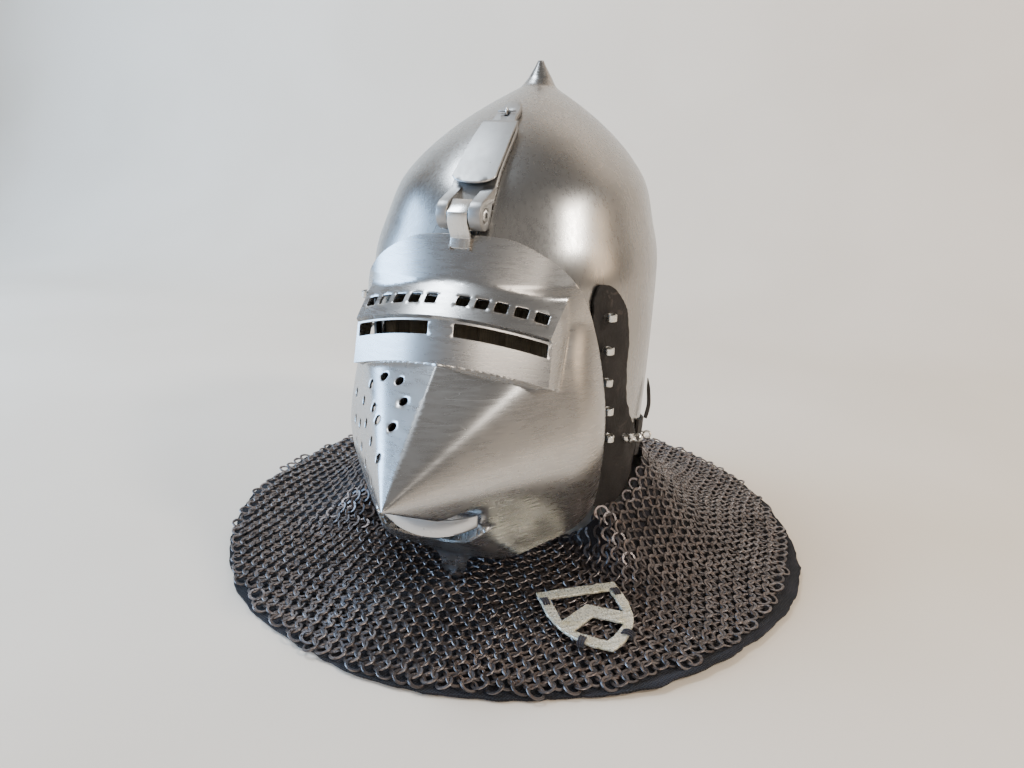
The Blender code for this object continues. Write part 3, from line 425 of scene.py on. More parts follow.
def divided(outline, longest, closed=True):
    """The outline with points added, so that no side is longer than a limit."""
    points = []
    ends = [*outline[1:], outline[0]] if closed else outline[1:]
    for start, end in zip(outline, ends):
        parts = max(math.ceil(math.dist(start, end) / longest), 1)
        points += [tuple(np.add(start, np.subtract(end, start) * i / parts)) for i in range(parts)]
    return points if closed else [*points, tuple(outline[-1])]


def flat_mesh(outline, holes, spacing, lines=(), zones=()):
    """Triangles that fill an outline. zones are (u, v, half width, half height, finer spacing)."""
    outline = divided(outline, spacing)
    points = []
    edges = []
    for loop in (outline, *holes):
        first = len(points)
        points += [tuple(p) for p in loop]
        edges += [(first + i, first + (i + 1) % len(loop)) for i in range(len(loop))]
    for line in lines:
        first = len(points)
        points += [tuple(p) for p in line]
        edges += [(first + i, first + i + 1) for i in range(len(line) - 1)]
    fixed = KDTree(len(points))
    for i, p in enumerate(points):
        fixed.insert((*p, 0), i)
    fixed.balance()
    loop = np.array(outline)
    centre = (loop.min(axis=0) + loop.max(axis=0)) / 2
    half = (loop.max(axis=0) - loop.min(axis=0)) / 2
    areas = [(*centre, *half, spacing), *zones]
    for number, (u, v, half_u, half_v, step) in enumerate(areas):
        us = np.arange(u - half_u, u + half_u + step / 2, step)
        vs = np.arange(v - half_v, v + half_v + step / 2, step * 0.866)
        grid = np.array([(a + (k % 2) * step / 2, b) for k, b in enumerate(vs) for a in us])
        for other in areas[number + 1:]:
            grid = grid[(np.abs(grid - other[:2]) > other[2:4]).any(axis=1)]
        grid = grid[inside(grid, outline)]
        points += [tuple(p) for p in grid if fixed.find((*p, 0))[2] > 0.55 * step]
    found = delaunay_2d_cdt([Vector(p) * 1000 for p in points], edges, [], 0, 1e-5)
    flat = np.array([tuple(p) for p in found[0]]) / 1000
    faces = np.array([tuple(f) for f in found[2]])
    middle = flat[faces].mean(axis=1)
    kept = inside(middle, outline)
    for hole in holes:
        kept &= ~inside(middle, hole)
    return flat, faces[kept]


def wrapped(name, surface, flat, low, high, made_of, body, replaced=(), slot=None, rim=0.15):
    """A sheet wrapped on a surface between two lifts. rim is how far its edge bulges."""
    points, faces = flat
    used, index = np.unique(faces, return_inverse=True)
    faces = index.reshape(faces.shape)
    points = points[used]
    count = len(points)
    directed = set()
    for a, b, c in faces.tolist():
        directed.update(((a, b), (b, c), (c, a)))
    border = [(a, b) for a, b in directed if (b, a) not in directed]
    outward = np.zeros((count, 2))
    for a, b in border:
        ahead = points[b] - points[a]
        across = np.array([ahead[1], -ahead[0]])
        across /= max(np.linalg.norm(across), 1e-12)
        outward[a] += across
        outward[b] += across
    on_border = np.array(sorted({a for a, _ in border}))
    length = np.linalg.norm(outward[on_border], axis=1)[:, None]
    bulge = outward[on_border] / np.maximum(length, 1e-9) * abs(high - low) * rim
    bulge = points[on_border] + bulge
    place = {int(v): i for i, v in enumerate(on_border)}
    edge = (high - low) * (rim or SQUARE_RIM)
    all_points = np.vstack([
        surface(*points.T, high), surface(*points.T, low),
        surface(*bulge.T, high - edge), surface(*bulge.T, low + edge)])
    skin = faces.tolist() + (faces[:, [0, 2, 1]] + count).tolist()
    upper, lower = 2 * count, 2 * count + len(on_border)
    for a, b in border:
        rows = [(a, b), (upper + place[a], upper + place[b]),
                (lower + place[a], lower + place[b]), (a + count, b + count)]
        skin += [(q, p, r, s) for (p, q), (r, s) in zip(rows, rows[1:])]
    return mesh_object(name, all_points, skin, made_of, body, replaced)


def lifted(surface, u, v, lift):
    """Points of a surface, moved out along its normals."""
    step = 2e-4
    along = surface(u + step, v) - surface(u - step, v)
    up = surface(u, v + step) - surface(u, v - step)
    return surface(u, v) + unit(np.cross(along, up)) * np.reshape(lift, (-1, 1))


def polygon(sides):
    """Corners of a regular polygon of radius one."""
    return [(math.cos(turn), math.sin(turn))
            for turn in (2 * math.pi * k / sides for k in range(sides))]


def arc(centre, radius, start, end, count):
    """Points of an arc between two angles."""
    turns = np.linspace(start, end, count)
    return [(centre[0] + radius * math.cos(a), centre[1] + radius * math.sin(a)) for a in turns]


def circle(centre, radius, sides):
    """A closed circle."""
    return arc(centre, radius, math.pi / sides, 2 * math.pi - math.pi / sides, sides)


def prism(name, outline, x0, x1, made_of, body, hole=None, rim=0.0, **facts):
    """An outline in (y, z) extruded along X, with its sharp edges rounded."""
    def sideways(y, z, x):
        return np.column_stack([np.full(len(y), x), y, z])

    flat = flat_mesh(outline, [hole] if hole else [], NO_GRID)
    made = wrapped(name, sideways, flat, x0, x1, made_of, body, rim=0.0, **facts)
    if rim:
        shape = bmesh.new()
        shape.from_mesh(made.data)
        bmesh.ops.remove_doubles(shape, verts=shape.verts, dist=1e-6)
        bmesh.ops.dissolve_limit(shape, angle_limit=math.radians(1), verts=shape.verts,
                                 edges=shape.edges)
        edges = [e for e in shape.edges if len(e.link_faces) == 2
                 and e.calc_face_angle(0) > math.radians(SHARP_DEGREES)]
        bmesh.ops.bevel(shape, geom=edges, offset=rim, segments=3, profile=0.5, affect="EDGES",
                        clamp_overlap=True)
        shape.to_mesh(made.data)
        shape.free()
        smooth(made.data, 50)
    return made


def tube(name, route, radii, sides, made_of, body, replaced=(), squash=1.0):
    """A round or oval bar along a route, with its own radius at each point."""
    route = [Vector(p) for p in route]
    radii = [radii] * len(route) if isinstance(radii, float) else radii
    points = []
    side = None
    for i, here in enumerate(route):
        ahead = (route[min(i + 1, len(route) - 1)] - route[max(i - 1, 0)]).normalized()
        side = side or ahead.orthogonal().normalized()
        side = (side - ahead * side.dot(ahead)).normalized()
        other = ahead.cross(side)
        points += [here + (side * x + other * y * squash) * radii[i] for x, y in polygon(sides)]
    caps = [tuple(range(sides)), tuple(range(len(points) - sides, len(points)))]
    faces = caps + bands(range(len(route)), sides)
    return mesh_object(name, points, faces, made_of, body, replaced)


# ---- surfaces


def skull_section(z):
    """Middle, half width, front and back depth of the skull at a height."""
    rise = np.clip((z - WIDEST_Z) / (OGIVE_Z - WIDEST_Z), 0, 1)
    fuller = np.clip((rise - 0.2) / 0.3, 0, 1)
    power = 2 + 0.5 * fuller ** 2 * (3 - 2 * fuller)
    scale = np.where(z > WIDEST_Z, 1 - rise ** power, 1 - 0.08 * ((WIDEST_Z - z) / 0.19) ** 2)
    top = np.clip((FINIAL_Z - z) / FINIAL_HEIGHT, 0, 1.7)
    finial = FINIAL_TIP_RADIUS + (FINIAL_ROOT_RADIUS - FINIAL_TIP_RADIUS) * top ** 1.1
    finial = np.where(top < 1.7, finial, -1.0)
    centre = APEX_Y * rise ** 1.5
    sizes = (SKULL_HALF_WIDTH, SKULL_FRONT, SKULL_BACK)
    return (centre, *(smooth_most(size * scale, finial, 0.002) for size in sizes))


def skull(u, z):
    """Points of the skull: u runs round it, unrolled at UNROLL, and z is the height."""
    angle = u / UNROLL
    centre, half, front, back = skull_section(z)
    depth = np.where(np.cos(angle) > 0, front, back)
    return np.column_stack([half * np.sin(angle), centre - depth * np.cos(angle), z])


def on_skull(u, z, lift):
    """Points of the skull's outer surface, moved out along its normals."""
    return lifted(skull, np.asarray(u, float), np.asarray(z, float), lift)


def vervelle_line(angle):
    """Height of the row of vervelles at an angle round the helmet."""
    back = (1 + np.cos(angle)) / 2
    return 0.058 + 0.068 * back ** 1.25


def skull_rim(angle):
    """Height of the skull's lower rim at an angle."""
    back = (1 - np.cos(angle)) / 2
    return CORNER_RIM_Z + (NAPE_RIM_Z - CORNER_RIM_Z) * np.clip(1.25 * back - 0.1, 0, 1)


def smooth_least(a, b, width):
    """The least of two fields, blended over a width."""
    share = np.clip(0.5 + 0.5 * (b - a) / width, 0, 1)
    return b + (a - b) * share - width * share * (1 - share)


def smooth_most(a, b, width):
    """The greatest of two fields, blended over a width."""
    return -smooth_least(-a, -b, width)


def chin_ledge(x):
    """Height of the ledge under the snout."""
    side = np.minimum(np.abs(x) / GUARD_HALF_WIDTH, 1.2)
    return LEDGE_MIDDLE[1] + GUARD_RISE[1] * side ** 2


def snout(x, forward, z):
    """A field that is negative inside the pointed snout: blended flat flanks."""
    side = np.abs(x)
    rise = z - TIP_Z
    below = np.clip((chin_ledge(x) - z) / LEDGE_HEIGHT + 0.5, 0, 1)
    bottom = HOLLOW_DISTANCE + (CHIN_DISTANCE - HOLLOW_DISTANCE) * below
    reach = np.maximum(-rise / bottom, 0) ** FLANK_ROUNDING
    for degrees, distance in FLANKS:
        turn = math.radians(degrees)
        across = (math.sin(turn) * side + math.cos(turn) * rise) / distance
        reach = reach + np.maximum(across, 0) ** FLANK_ROUNDING
    return (forward + TIP_Y + CONE_DEPTH * reach ** (1 / FLANK_ROUNDING)) * 0.64


def barrel(x, forward, z):
    """A field that is negative inside the visor's rounded body."""
    front = np.interp(z, BARREL_Z, BARREL_FRONT)
    half = np.interp(z, BARREL_Z, BARREL_HALF_WIDTH)
    size = (np.abs(x) / half) ** BARREL_POWER + (np.maximum(forward, 0) / front) ** BARREL_POWER
    return (size ** (1 / BARREL_POWER) - 1) * 0.1


def plane(forward, z, start, end):
    """Distance outside a flat face through two points of a section."""
    run, fall = end[0] - start[0], start[1] - end[1]
    length = math.hypot(run, fall)
    return (fall * (forward - start[0]) + run * (z - start[1])) / length


def frame_end(x, forward, z):
    """Distance outside the sight frame's flat end."""
    return FRAME_END[0] * np.abs(x) + FRAME_END[1] * forward + FRAME_END[2] * z - FRAME_END[3]


def sight_frame(x, forward, z):
    """A field that is negative inside the raised frame round the sights."""
    forward_0 = forward + x ** 2 / (2 * FRAME_PLAN_RADIUS)
    z_0 = z + FRAME_DROP * (x / FRAME_DROP_AT) ** 2
    top, under_ridge, face, bottom = (plane(forward_0, z_0, start, end) for start, end in
                                      zip(FRAME_SECTION, FRAME_SECTION[1:]))
    end = frame_end(x, forward, z)
    return np.minimum(np.maximum.reduce([top, under_ridge, end]),
                      np.maximum.reduce([top, face, bottom, end]))


def visor_field(x, forward, z):
    """A field that is zero on the outer surface of the visor."""
    cheeks = np.abs(x) - (CHEEK_HALF_WIDTH - 2.4 * (z - CHEEK_Z) ** 2)
    lower = smooth_most(snout(x, forward, z), cheeks, 0.012)
    body = smooth_least(barrel(x, forward, z), lower, 0.006)
    body = smooth_least(body, sight_frame(x, forward, z), 0.0012)
    height = z - SCOOP_CENTRE[1] - GUARD_RISE[0] * (x / GUARD_HALF_WIDTH) ** 2
    scoop = (np.abs(x) / SCOOP_SIZE[0]) ** 3 + ((forward - SCOOP_CENTRE[0]) / SCOOP_SIZE[1]) ** 2
    scoop = (scoop + np.abs(height / SCOOP_SIZE[2]) ** 3) ** 0.5
    body = smooth_most(body, (1 - scoop) * SCOOP_SIZE[2], 0.0025)
    tab = np.maximum(np.abs(x) - 0.020, forward - 0.1195 - 0.06 * (z - 0.028))
    return smooth_least(body, np.maximum(tab, z - 0.036), 0.003)


def visor(u, z):
    """Points of the visor, found by halving along lines out from the middle."""
    u, z = np.asarray(u, float), np.asarray(z, float)
    across, ahead = np.sin(u / UNROLL), np.cos(u / UNROLL)
    near, far = np.full(len(u), 0.03), np.full(len(u), 0.27)
    for _ in range(30):
        middle = (near + far) / 2
        within = visor_field(middle * across, middle * ahead, z) < 0
        near, far = np.where(within, middle, near), np.where(within, far, middle)
    return np.column_stack([near * across, -near * ahead, z])


def on_visor(u, z, lift):
    """Points of the visor's outer surface, moved out along its normals."""
    points = visor(u, z)
    x, forward, height = points[:, 0], -points[:, 1], points[:, 2]
    steps = 5e-4 * np.diag((1, -1, 1))
    slope = [visor_field(x + a, forward + b, height + c)
             - visor_field(x - a, forward - b, height - c) for a, b, c in steps]
    return points + unit(np.column_stack(slope)) * np.reshape(lift, (-1, 1))


def frame_bend(forward, z, x):
    """The frame's flat section, bent back round the face and let down toward its ends."""
    return forward - x ** 2 / (2 * FRAME_PLAN_RADIUS), z - FRAME_DROP * (x / FRAME_DROP_AT) ** 2


def frame_line(forward, z, x):
    """An edge of the sight frame's section, carried across the face, in flat coordinates."""
    ahead, height = frame_bend(forward, z, np.asarray(x, float))
    return list(zip(np.arctan2(x, ahead) * UNROLL, height))


def along(start, end, z):
    """How far forward a line between two points is at a height."""
    return start[0] + (end[0] - start[0]) * (z - start[1]) / (end[1] - start[1])


def bent(start, corner, end, shares):
    """Points of a curve from start to end that bends toward a corner."""
    return [tuple((1 - t) ** 2 * start + 2 * t * (1 - t) * corner + t ** 2 * end) for t in shares]


def rounded_loop(corners, radius, steps):
    """A closed loop of straight sides with rounded corners, in flat coordinates."""
    loop = []
    for i, corner in enumerate(corners):
        corner = np.array(corner)
        sides = [np.array(p) - corner for p in (corners[i - 1], corners[(i + 1) % len(corners)])]
        lengths = [np.linalg.norm(side) for side in sides]
        start, end = (corner + side / length * min(radius, length / 2)
                      for side, length in zip(sides, lengths))
        loop += bent(start, corner, end, [step / steps for step in range(steps + 1)])
    return loop


def frame_window(x0, x1, low, high, start, end, steps, radius):
    """A window in the sight frame with rounded corners."""
    across = np.linspace(x0, x1, steps + 1)
    loop = frame_line(along(start, end, low), low, across)
    loop += frame_line(along(start, end, high), high, across[::-1])
    made = []
    for i, point in enumerate(loop):
        if i in (0, steps, steps + 1, 2 * steps + 1):
            corner = np.array(point)
            sides = (corner + unit(np.array(loop[(i + k) % len(loop)]) - corner) * radius
                     for k in (-1, 1))
            made += bent(next(sides), corner, next(sides), (0.0, 0.33, 0.67, 1.0))
        else:
            made.append(tuple(point))
    return made


def breath_hole(x, z, sides):
    """A round hole square to the visor's surface, in flat coordinates."""
    reach = np.linspace(0.02, 0.26, 2400)
    field = visor_field(np.full(len(reach), x), reach, np.full(len(reach), z))
    centre = np.array([x, -reach[np.argmax(field > 0)], z])
    u = math.atan2(x, -centre[1]) * UNROLL
    across = unit((visor([u + 1e-3], [z]) - visor([u - 1e-3], [z]))[0])
    up = (visor([u], [z + 1e-3]) - visor([u], [z - 1e-3]))[0]
    up = unit(np.cross(np.cross(across, up), across))
    loop = [centre + BREATH_RADIUS * (a * across + b * up) for a, b in polygon(sides)]
    return [(math.atan2(point[0], -point[1]) * UNROLL, point[2]) for point in loop]


def visor_outline(steps):
    """The visor's edge, in flat coordinates."""
    corners = ((0, 0.2425), (10, 0.2420), (20, 0.2388), (32, 0.2255), (40.5, 0.205), (46.8, 0.172),
               (49.5, 0.135), (49.8, 0.100), (51.2, 0.072), (50.2, 0.0585), (45, 0.0530),
               (35, 0.0490), (27, 0.0450), (19, 0.0400), (12, 0.0340), (7.2, 0.0285),
               (4.8, 0.0230), (4.0, 0.0150), (2.6, 0.0098), (0, 0.0085))
    half = smooth_curve([(math.radians(a) * UNROLL, z) for a, z in corners], steps)
    return mirrored(half)


# ---- steel pieces


def frame_end_lines():
    """Where the flat ends of the sight frame meet its faces, and where they meet the barrel."""
    outer = []
    for start, end in zip(FRAME_SECTION, FRAME_SECTION[1:]):
        for t in np.linspace(0, 1, 9)[: 9 if end is FRAME_UNDER else 8]:
            forward, z = np.array(start) + (np.array(end) - np.array(start)) * t
            x = 0.06
            for _ in range(12):
                ahead, height = frame_bend(forward, z, x)
                x = (FRAME_END[3] - FRAME_END[1] * ahead - FRAME_END[2] * height) / FRAME_END[0]
            outer.append((math.atan2(x, ahead) * UNROLL, height))
    inner = []
    for z in np.linspace(outer[0][1] - 0.001, outer[-1][1] + 0.001, 30):
        xs = np.linspace(0.055, 0.085, 600)
        ahead = (FRAME_END[3] - FRAME_END[0] * xs - FRAME_END[2] * z) / FRAME_END[1]
        nearest = int(np.argmin(np.abs(barrel(xs, ahead, np.full(len(xs), z)))))
        inner.append((math.atan2(xs[nearest], ahead[nearest]) * UNROLL, z))
    return [[(side * u, v) for u, v in line] for side in (1, -1) for line in (outer, inner)]


def make_visor():
    """The visor's plate: its bends get lines of points, and its small forms a finer mesh."""
    across = np.linspace(-0.064, 0.064, 81)
    lines = [frame_line(*place, across) for place in FRAME_SECTION]
    chin = np.linspace(-1.1, 1.1, 41) * GUARD_HALF_WIDTH
    lines += [list(zip(np.arctan2(chin, LEDGE_MIDDLE[0]) * UNROLL, chin_ledge(chin) + lift))
              for lift in (-LEDGE_HEIGHT, LEDGE_HEIGHT)]
    lines += frame_end_lines()
    lines.append(divided([(0, 0.158), (0, 0.092)], 0.0010, closed=False))
    holes = []
    for side in (1, -1):
        holes.append(frame_window(side * SIGHT_X[0], side * SIGHT_X[1], *SIGHT_Z,
                                  FRAME_STEP, FRAME_NOSE, 30, 0.0010))
        for i in range(VENTS_A_SIDE):
            x0 = VENT_FIRST_X + i * VENT_PITCH
            holes.append(frame_window(side * x0, side * (x0 + VENT_WIDTH), *VENT_Z,
                                      FRAME_RIDGE, FRAME_TOP, 5, 0.0013))
    holes += [breath_hole(x, z, 24) for x, z in BREATHS]
    zones = ((0, TIP_Z, 0.030, 0.036, 0.0012), (0, TIP_Z, 0.010, 0.012, 0.0006),
             (0, 0.1625, 0.062, 0.0095, 0.0008), (0.0665, 0.184, 0.0105, 0.031, 0.0008),
             (-0.0665, 0.184, 0.0105, 0.031, 0.0008))
    flat = flat_mesh(visor_outline(8), holes, 0.0017, lines, zones)
    wrapped("visor_plate", on_visor, flat, -VISOR_PLATE, 0.0, visor_steel, "visor",
            ["visor_shell"], "polished_steel", rim=0.12)


def guard_strip(x, share, lift):
    """Points of the strip under the snout, at x and a share of its height."""
    bend = (x / GUARD_HALF_WIDTH) ** 2
    forward = GUARD_BOTTOM[0] + share * (GUARD_TOP[0] - GUARD_BOTTOM[0])
    rise = GUARD_RISE[1] + share * (GUARD_RISE[0] - GUARD_RISE[1])
    z = GUARD_BOTTOM[1] + share * (GUARD_TOP[1] - GUARD_BOTTOM[1]) + rise * bend
    y = -(forward - (GUARD_BEND[1] + share * (GUARD_BEND[0] - GUARD_BEND[1])) * bend + lift)
    return np.column_stack([x, y, z])


def make_mouth_guard():
    """The strip under the snout, bowed a little across its height."""
    def strip(x, v, lift):
        share = v / GUARD_LENGTH
        return guard_strip(x, share, lift + 0.0006 * np.sin(math.pi * np.clip(share, 0, 1)))

    edge = 0.95 * GUARD_HALF_WIDTH
    corners = [(-edge, 0), (edge, 0), (edge, GUARD_LENGTH), (-edge, GUARD_LENGTH)]
    flat = flat_mesh(rounded_loop(corners, 0.0014, 4), [], 0.0016)
    wrapped("mouth_guard_strip", strip, flat, 0.0, GUARD_PLATE, guard_steel, "visor",
            ["mouth_guard"], "polished_steel")


def make_skull():
    """The skull's shell, with the face cut out of it."""
    columns, rows = 200, 110
    angles = np.linspace(0, 2 * math.pi, columns, endpoint=False)
    rim = skull_rim(angles)
    levels = 1 - (1 - np.linspace(0, 1, rows)) ** 1.7
    inner_levels = levels[levels <= 0.968]
    rings = []
    for lift, heights in ((0.0, levels), (-SKULL_PLATE, inner_levels)):
        for level in heights:
            z = np.minimum(rim + (FINIAL_Z - rim) * level, FINIAL_Z - 1e-5)
            rings.append(on_skull(angles * UNROLL, z, lift))
    tip = [0, float(skull_section(np.array(FINIAL_Z))[0]), FINIAL_Z + 0.0003]
    points = np.vstack([*rings, [tip, [0, APEX_Y, rings[-1][:, 2].mean()]]])
    faces = bands([*range(rows - 1, -1, -1), *range(rows, len(rings))], columns)
    for i in range(columns):
        j = (i + 1) % columns
        for row, middle in ((rows - 1, len(points) - 2), (len(rings) - 1, len(points) - 1)):
            faces.append((row * columns + i, row * columns + j, middle))
    shell = mesh_object("skull_plate", points, faces, skull_steel, "helmet", ["skull"])
    opening = smooth_curve(
        [(0, FACE_TOP_Z), (0.040, FACE_TOP_Z - 0.003), (0.064, FACE_TOP_Z - 0.020),
         (FACE_HALF_WIDTH, FACE_TOP_Z - 0.052), (FACE_HALF_WIDTH, 0.10)], 10)
    opening += [(FACE_HALF_WIDTH, 0.02), (0, 0.02)]

    def facing(x, z, y):
        return np.column_stack([x, np.full(len(x), y), z])

    cutter = wrapped("face_cutter", facing, flat_mesh(mirrored(opening), [], NO_GRID), -0.20, -0.05,
                     skull_steel, "helmet", rim=0.0)
    combined(shell, [cutter], "DIFFERENCE")


def hinge_plate(x, z, lift):
    """Points over the skull's front at x and a height, moved out."""
    half = skull_section(z)[1]
    return on_skull(np.arcsin(np.clip(x / half, -1, 1)) * UNROLL, z, lift)


def make_hinge():
    """The brow hinge: plate with two knuckles, leaf, pin, cover, staple, lock pin and welds."""
    axis = (PIN_Y, PIN_Z)
    bore = circle(axis, BORE_RADIUS, 36)
    profile = smooth_curve([(0.0138, 0.2600), (0.0138, 0.270), (0.0125, 0.300), (0.0075, 0.3085),
                            (0.0065, 0.3160), (0.0035, 0.3205), (0.0, 0.3212)], 4)
    outline = [(-x, z) for x, z in profile[:-1]] + [tuple(p) for p in profile[::-1]]
    slot = rounded_loop([(-0.0022, 0.3105), (0.0022, 0.3105), (0.0022, 0.3155), (-0.0022, 0.3155)],
                        0.001, 3)
    base = wrapped("hinge_base_plate", hinge_plate, flat_mesh(outline, [slot], 0.0022), GAP,
                   BASE_TOP, hinge_grey, "helmet", ["hinge_base"], "hinge_steel", rim=0.2)
    root = [hinge_plate(np.array([0.0]), np.array([z]), 0.0022)[0][1:] for z in (0.2700, 0.2610)]
    start = math.atan2(root[0][1] - PIN_Z, root[0][0] - PIN_Y) + 1.25
    rim = arc(axis, KNUCKLE_RADIUS, start, start + 2 * math.pi - 2.6, 40)
    rim += [tuple(root[1]), tuple(root[0])]
    knuckles = [prism(f"outer_knuckle_{i}", rim, x0, x1, hinge_grey, "helmet", bore, rim=0.0005)
                for i, (x0, x1) in enumerate(OUTER_KNUCKLES)]
    combined(base, knuckles, "UNION")

    seats = [tuple(on_visor([0.0], [z], lift)[0][1:]) for z, lift in
             ((0.2400, GAP), (0.2340, GAP), (0.2340, 0.0012), (0.2395, 0.0028))]
    outline = [seats[1], seats[0], *arc(axis, KNUCKLE_RADIUS, -2.02, 1.63, 40),
               (PIN_Y - KNUCKLE_RADIUS, PIN_Z + 0.002), (PIN_Y - KNUCKLE_RADIUS, PIN_Z - 0.004),
               seats[3], seats[2]]
    prism("hinge_middle_leaf", outline, *LEAF_X, hinge_bright, "visor", bore, rim=0.0006,
          replaced=["hinge_leaf"], slot="bright_steel")

    right, left = OUTER_KNUCKLES[0][0] - 0.0004, OUTER_KNUCKLES[1][1] + 0.0004
    pin = prism("hinge_pin_bar", circle(axis, PIN_RADIUS, 40), right, left, hinge_bright, "helmet",
                rim=0.0005, replaced=["hinge_pin"], slot="bright_steel")
    socket = prism("socket_cutter", circle(axis, 0.0022, 6), left - 0.0030, left + 0.002,
                   hinge_bright, "helmet")
    combined(pin, [socket], "DIFFERENCE")

    cover = [(0.0132 * math.sin(a), 0.2725 - 0.0045 * math.cos(a))
             for a in np.linspace(-1.5, 1.5, 25)]
    cover += [(0.0128, 0.288), (0.0112, 0.3055), (-0.0112, 0.3055), (-0.0128, 0.288)]

    def proud(x, z, lift):
        lip = np.clip((0.286 - z) / 0.018, 0, 1) ** 2
        return hinge_plate(x, z, lift + BASE_TOP + 2 * GAP + 0.0030 * lip)

    wrapped("hinge_cover", proud, flat_mesh(cover, [], 0.0022), 0.0, COVER_PLATE, hinge_grey,
            "helmet", ["hinge_cover_plate"], "hinge_steel", rim=0.3)

    centre, raised = (Vector(hinge_plate(np.array([0.0]), np.array([STAPLE_Z]), lift)[0])
                      for lift in (BASE_TOP + 0.0003, BASE_TOP + 0.0013))
    out = (raised - centre).normalized()
    up = out.cross(Vector((-1, 0, 0)))
    bend = [(0.0005 + 0.0021 * math.sin(a), 0.0017 * math.cos(a))
            for a in np.linspace(0, math.pi, 15)]
    bend = [(-0.0042, 0.0017), *bend, (-0.0042, -0.0017)]
    tube("staple_loop", [centre + out * a + up * b for a, b in bend], 0.00075, 14, hinge_bright,
         "helmet", ["hinge_staple"])
    bar = [centre + out * 0.00105 + Vector((x, 0, 0)) for x in np.linspace(-0.0065, 0.0065, 9)]
    tube("lock_pin_bar", bar, [0.0003, *[0.0006] * 7, 0.0003], 12, hinge_grey, "helmet",
         ["hinge_lock_pin"])

    beads = 22
    for side, x in (("left", LEAF_X[1]), ("right", LEAF_X[0])):
        heights = np.linspace(0.2332, 0.2405, beads)
        route = on_visor(np.full(beads, x / 0.112 * UNROLL), heights, 0.0004)
        radii = [float(0.0012 + 0.0004 * math.sin(i * 2.1) + random.uniform(-0.0002, 0.0002))
                 * (0.5 if i in (0, beads - 1) else 1.0) for i in range(beads)]
        tube(f"weld_bead_{side}", route, radii, 10, weld_steel, "visor")


make_visor()
make_mouth_guard()
make_skull()
make_hinge()

# ---- leather and vervelles


def ragged(outline, amount, longest, seed):
    """The outline with finely uneven edges, as hand-cut leather has."""
    draw = np.random.default_rng(seed)
    points = np.array(divided(outline, longest))
    ahead = np.roll(points, -1, axis=0) - np.roll(points, 1, axis=0)
    across = unit(np.column_stack([ahead[:, 1], -ahead[:, 0]]))
    rough = draw.normal(0, 1, len(points))
    rough = (rough + np.roll(rough, 1) + np.roll(rough, -1)) / 1.73
    return [tuple(p) for p in points + across * (rough * amount)[:, None]]


def on_leather(bend):
    """The skull's surface with the slight waves of a leather strip that isn't glued down."""
    def surface(u, z, lift):
        wave = 0.5 + 0.5 * np.sin(u * 260 + 1.1) * np.sin(z * 190 + 0.4)
        return on_skull(u, z, lift + bend * wave)
    return surface


def make_leather():
    """Leather beside the face and round the nape, and the end of a thong."""
    strip = ((47.5, 0.190), (48.5, 0.2080), (52, 0.2125), (57, 0.2085), (63.5, 0.1940),
             (66.0, 0.178), (67.0, 0.155), (68.5, 0.130), (74.5, 0.110), (81.5, 0.095),
             (83.5, 0.078), (81.0, 0.058), (72.0, 0.0475), (60.0, 0.0500), (52.0, 0.060),
             (48.5, 0.085), (47.2, 0.12), (47.0, 0.16))
    for side, name in ((1, "left"), (-1, "right")):
        points = [(side * math.radians(a) * UNROLL, z) for a, z in strip]
        smooth = smooth_curve([*points, points[0]], 5)[:-1]
        outline = ragged([tuple(p) for p in smooth], 0.00035, 0.0022, 11 + side)
        wrapped(f"leather_cheek_{name}", on_leather(0.0008), flat_mesh(outline, [], 0.0024),
                GAP, GAP + LEATHER, band_leather, "helmet", [f"leather_strip_{name}"],
                "worn_leather")
    angles = np.radians(np.linspace(85, 275, 96))
    top = [(a * UNROLL, vervelle_line(a) + 0.013) for a in angles]
    bottom = [(a * UNROLL, vervelle_line(a) - 0.016) for a in angles[::-1]]
    outline = ragged(top + bottom, 0.0003, 0.0026, 5)
    wrapped("leather_nape", on_leather(0.0006), flat_mesh(outline, [], 0.0028),
            GAP, GAP + LEATHER, band_leather, "helmet", ["leather_nape_band"], "worn_leather")
    base = on_skull([math.radians(92) * UNROLL], [0.100], 0.0048)[0]
    knots = [base + np.array(p) for p in ((0, 0, 0), (0.001, 0.005, 0.009), (0.0, 0.006, 0.020),
                                          (-0.001, 0.003, 0.031))]
    route = smooth_curve(knots, 6)
    radii = [float(r) for r in np.interp(np.linspace(0, 1, len(route)), (0, 0.15, 0.75, 1),
                                         (0.0017, 0.0019, 0.0016, 0.0004))]
    tube("leather_thong_end", route, radii, 12, band_leather, "helmet", ["leather_thong"],
         squash=0.6)


def vervelle_shape():
    """One vervelle: a turned tube with rounded lips, on a flat shank."""
    sides, shank_sides = 28, 12
    half = VERVELLE_LENGTH / 2
    quarter = [(VERVELLE_RADIUS, half - 0.0005), (VERVELLE_RADIUS - 0.0005, half),
               (VERVELLE_BORE + 0.0004, half), (VERVELLE_BORE, half - 0.0004)]
    section = [(r, -z) for r, z in quarter[::-1]] + quarter
    points = [(r * math.cos(t), r * math.sin(t), z) for r, z in section
              for t in np.linspace(0, 2 * math.pi, sides, endpoint=False)]
    faces = bands([*range(len(section)), 0], sides)
    first = len(points)
    for y, wide in ((-VERVELLE_RADIUS + 0.0009, 0.0022), (-VERVELLE_RADIUS - 0.0013, 0.0027)):
        points += [(wide * a, y, wide * 0.7 * b) for a, b in polygon(shank_sides)]
    faces += bands(range(2), shank_sides, first)
    faces.append(tuple(range(first, first + shank_sides)))
    faces.append(tuple(range(first + 2 * shank_sides - 1, first + shank_sides - 1, -1)))
    return points, faces


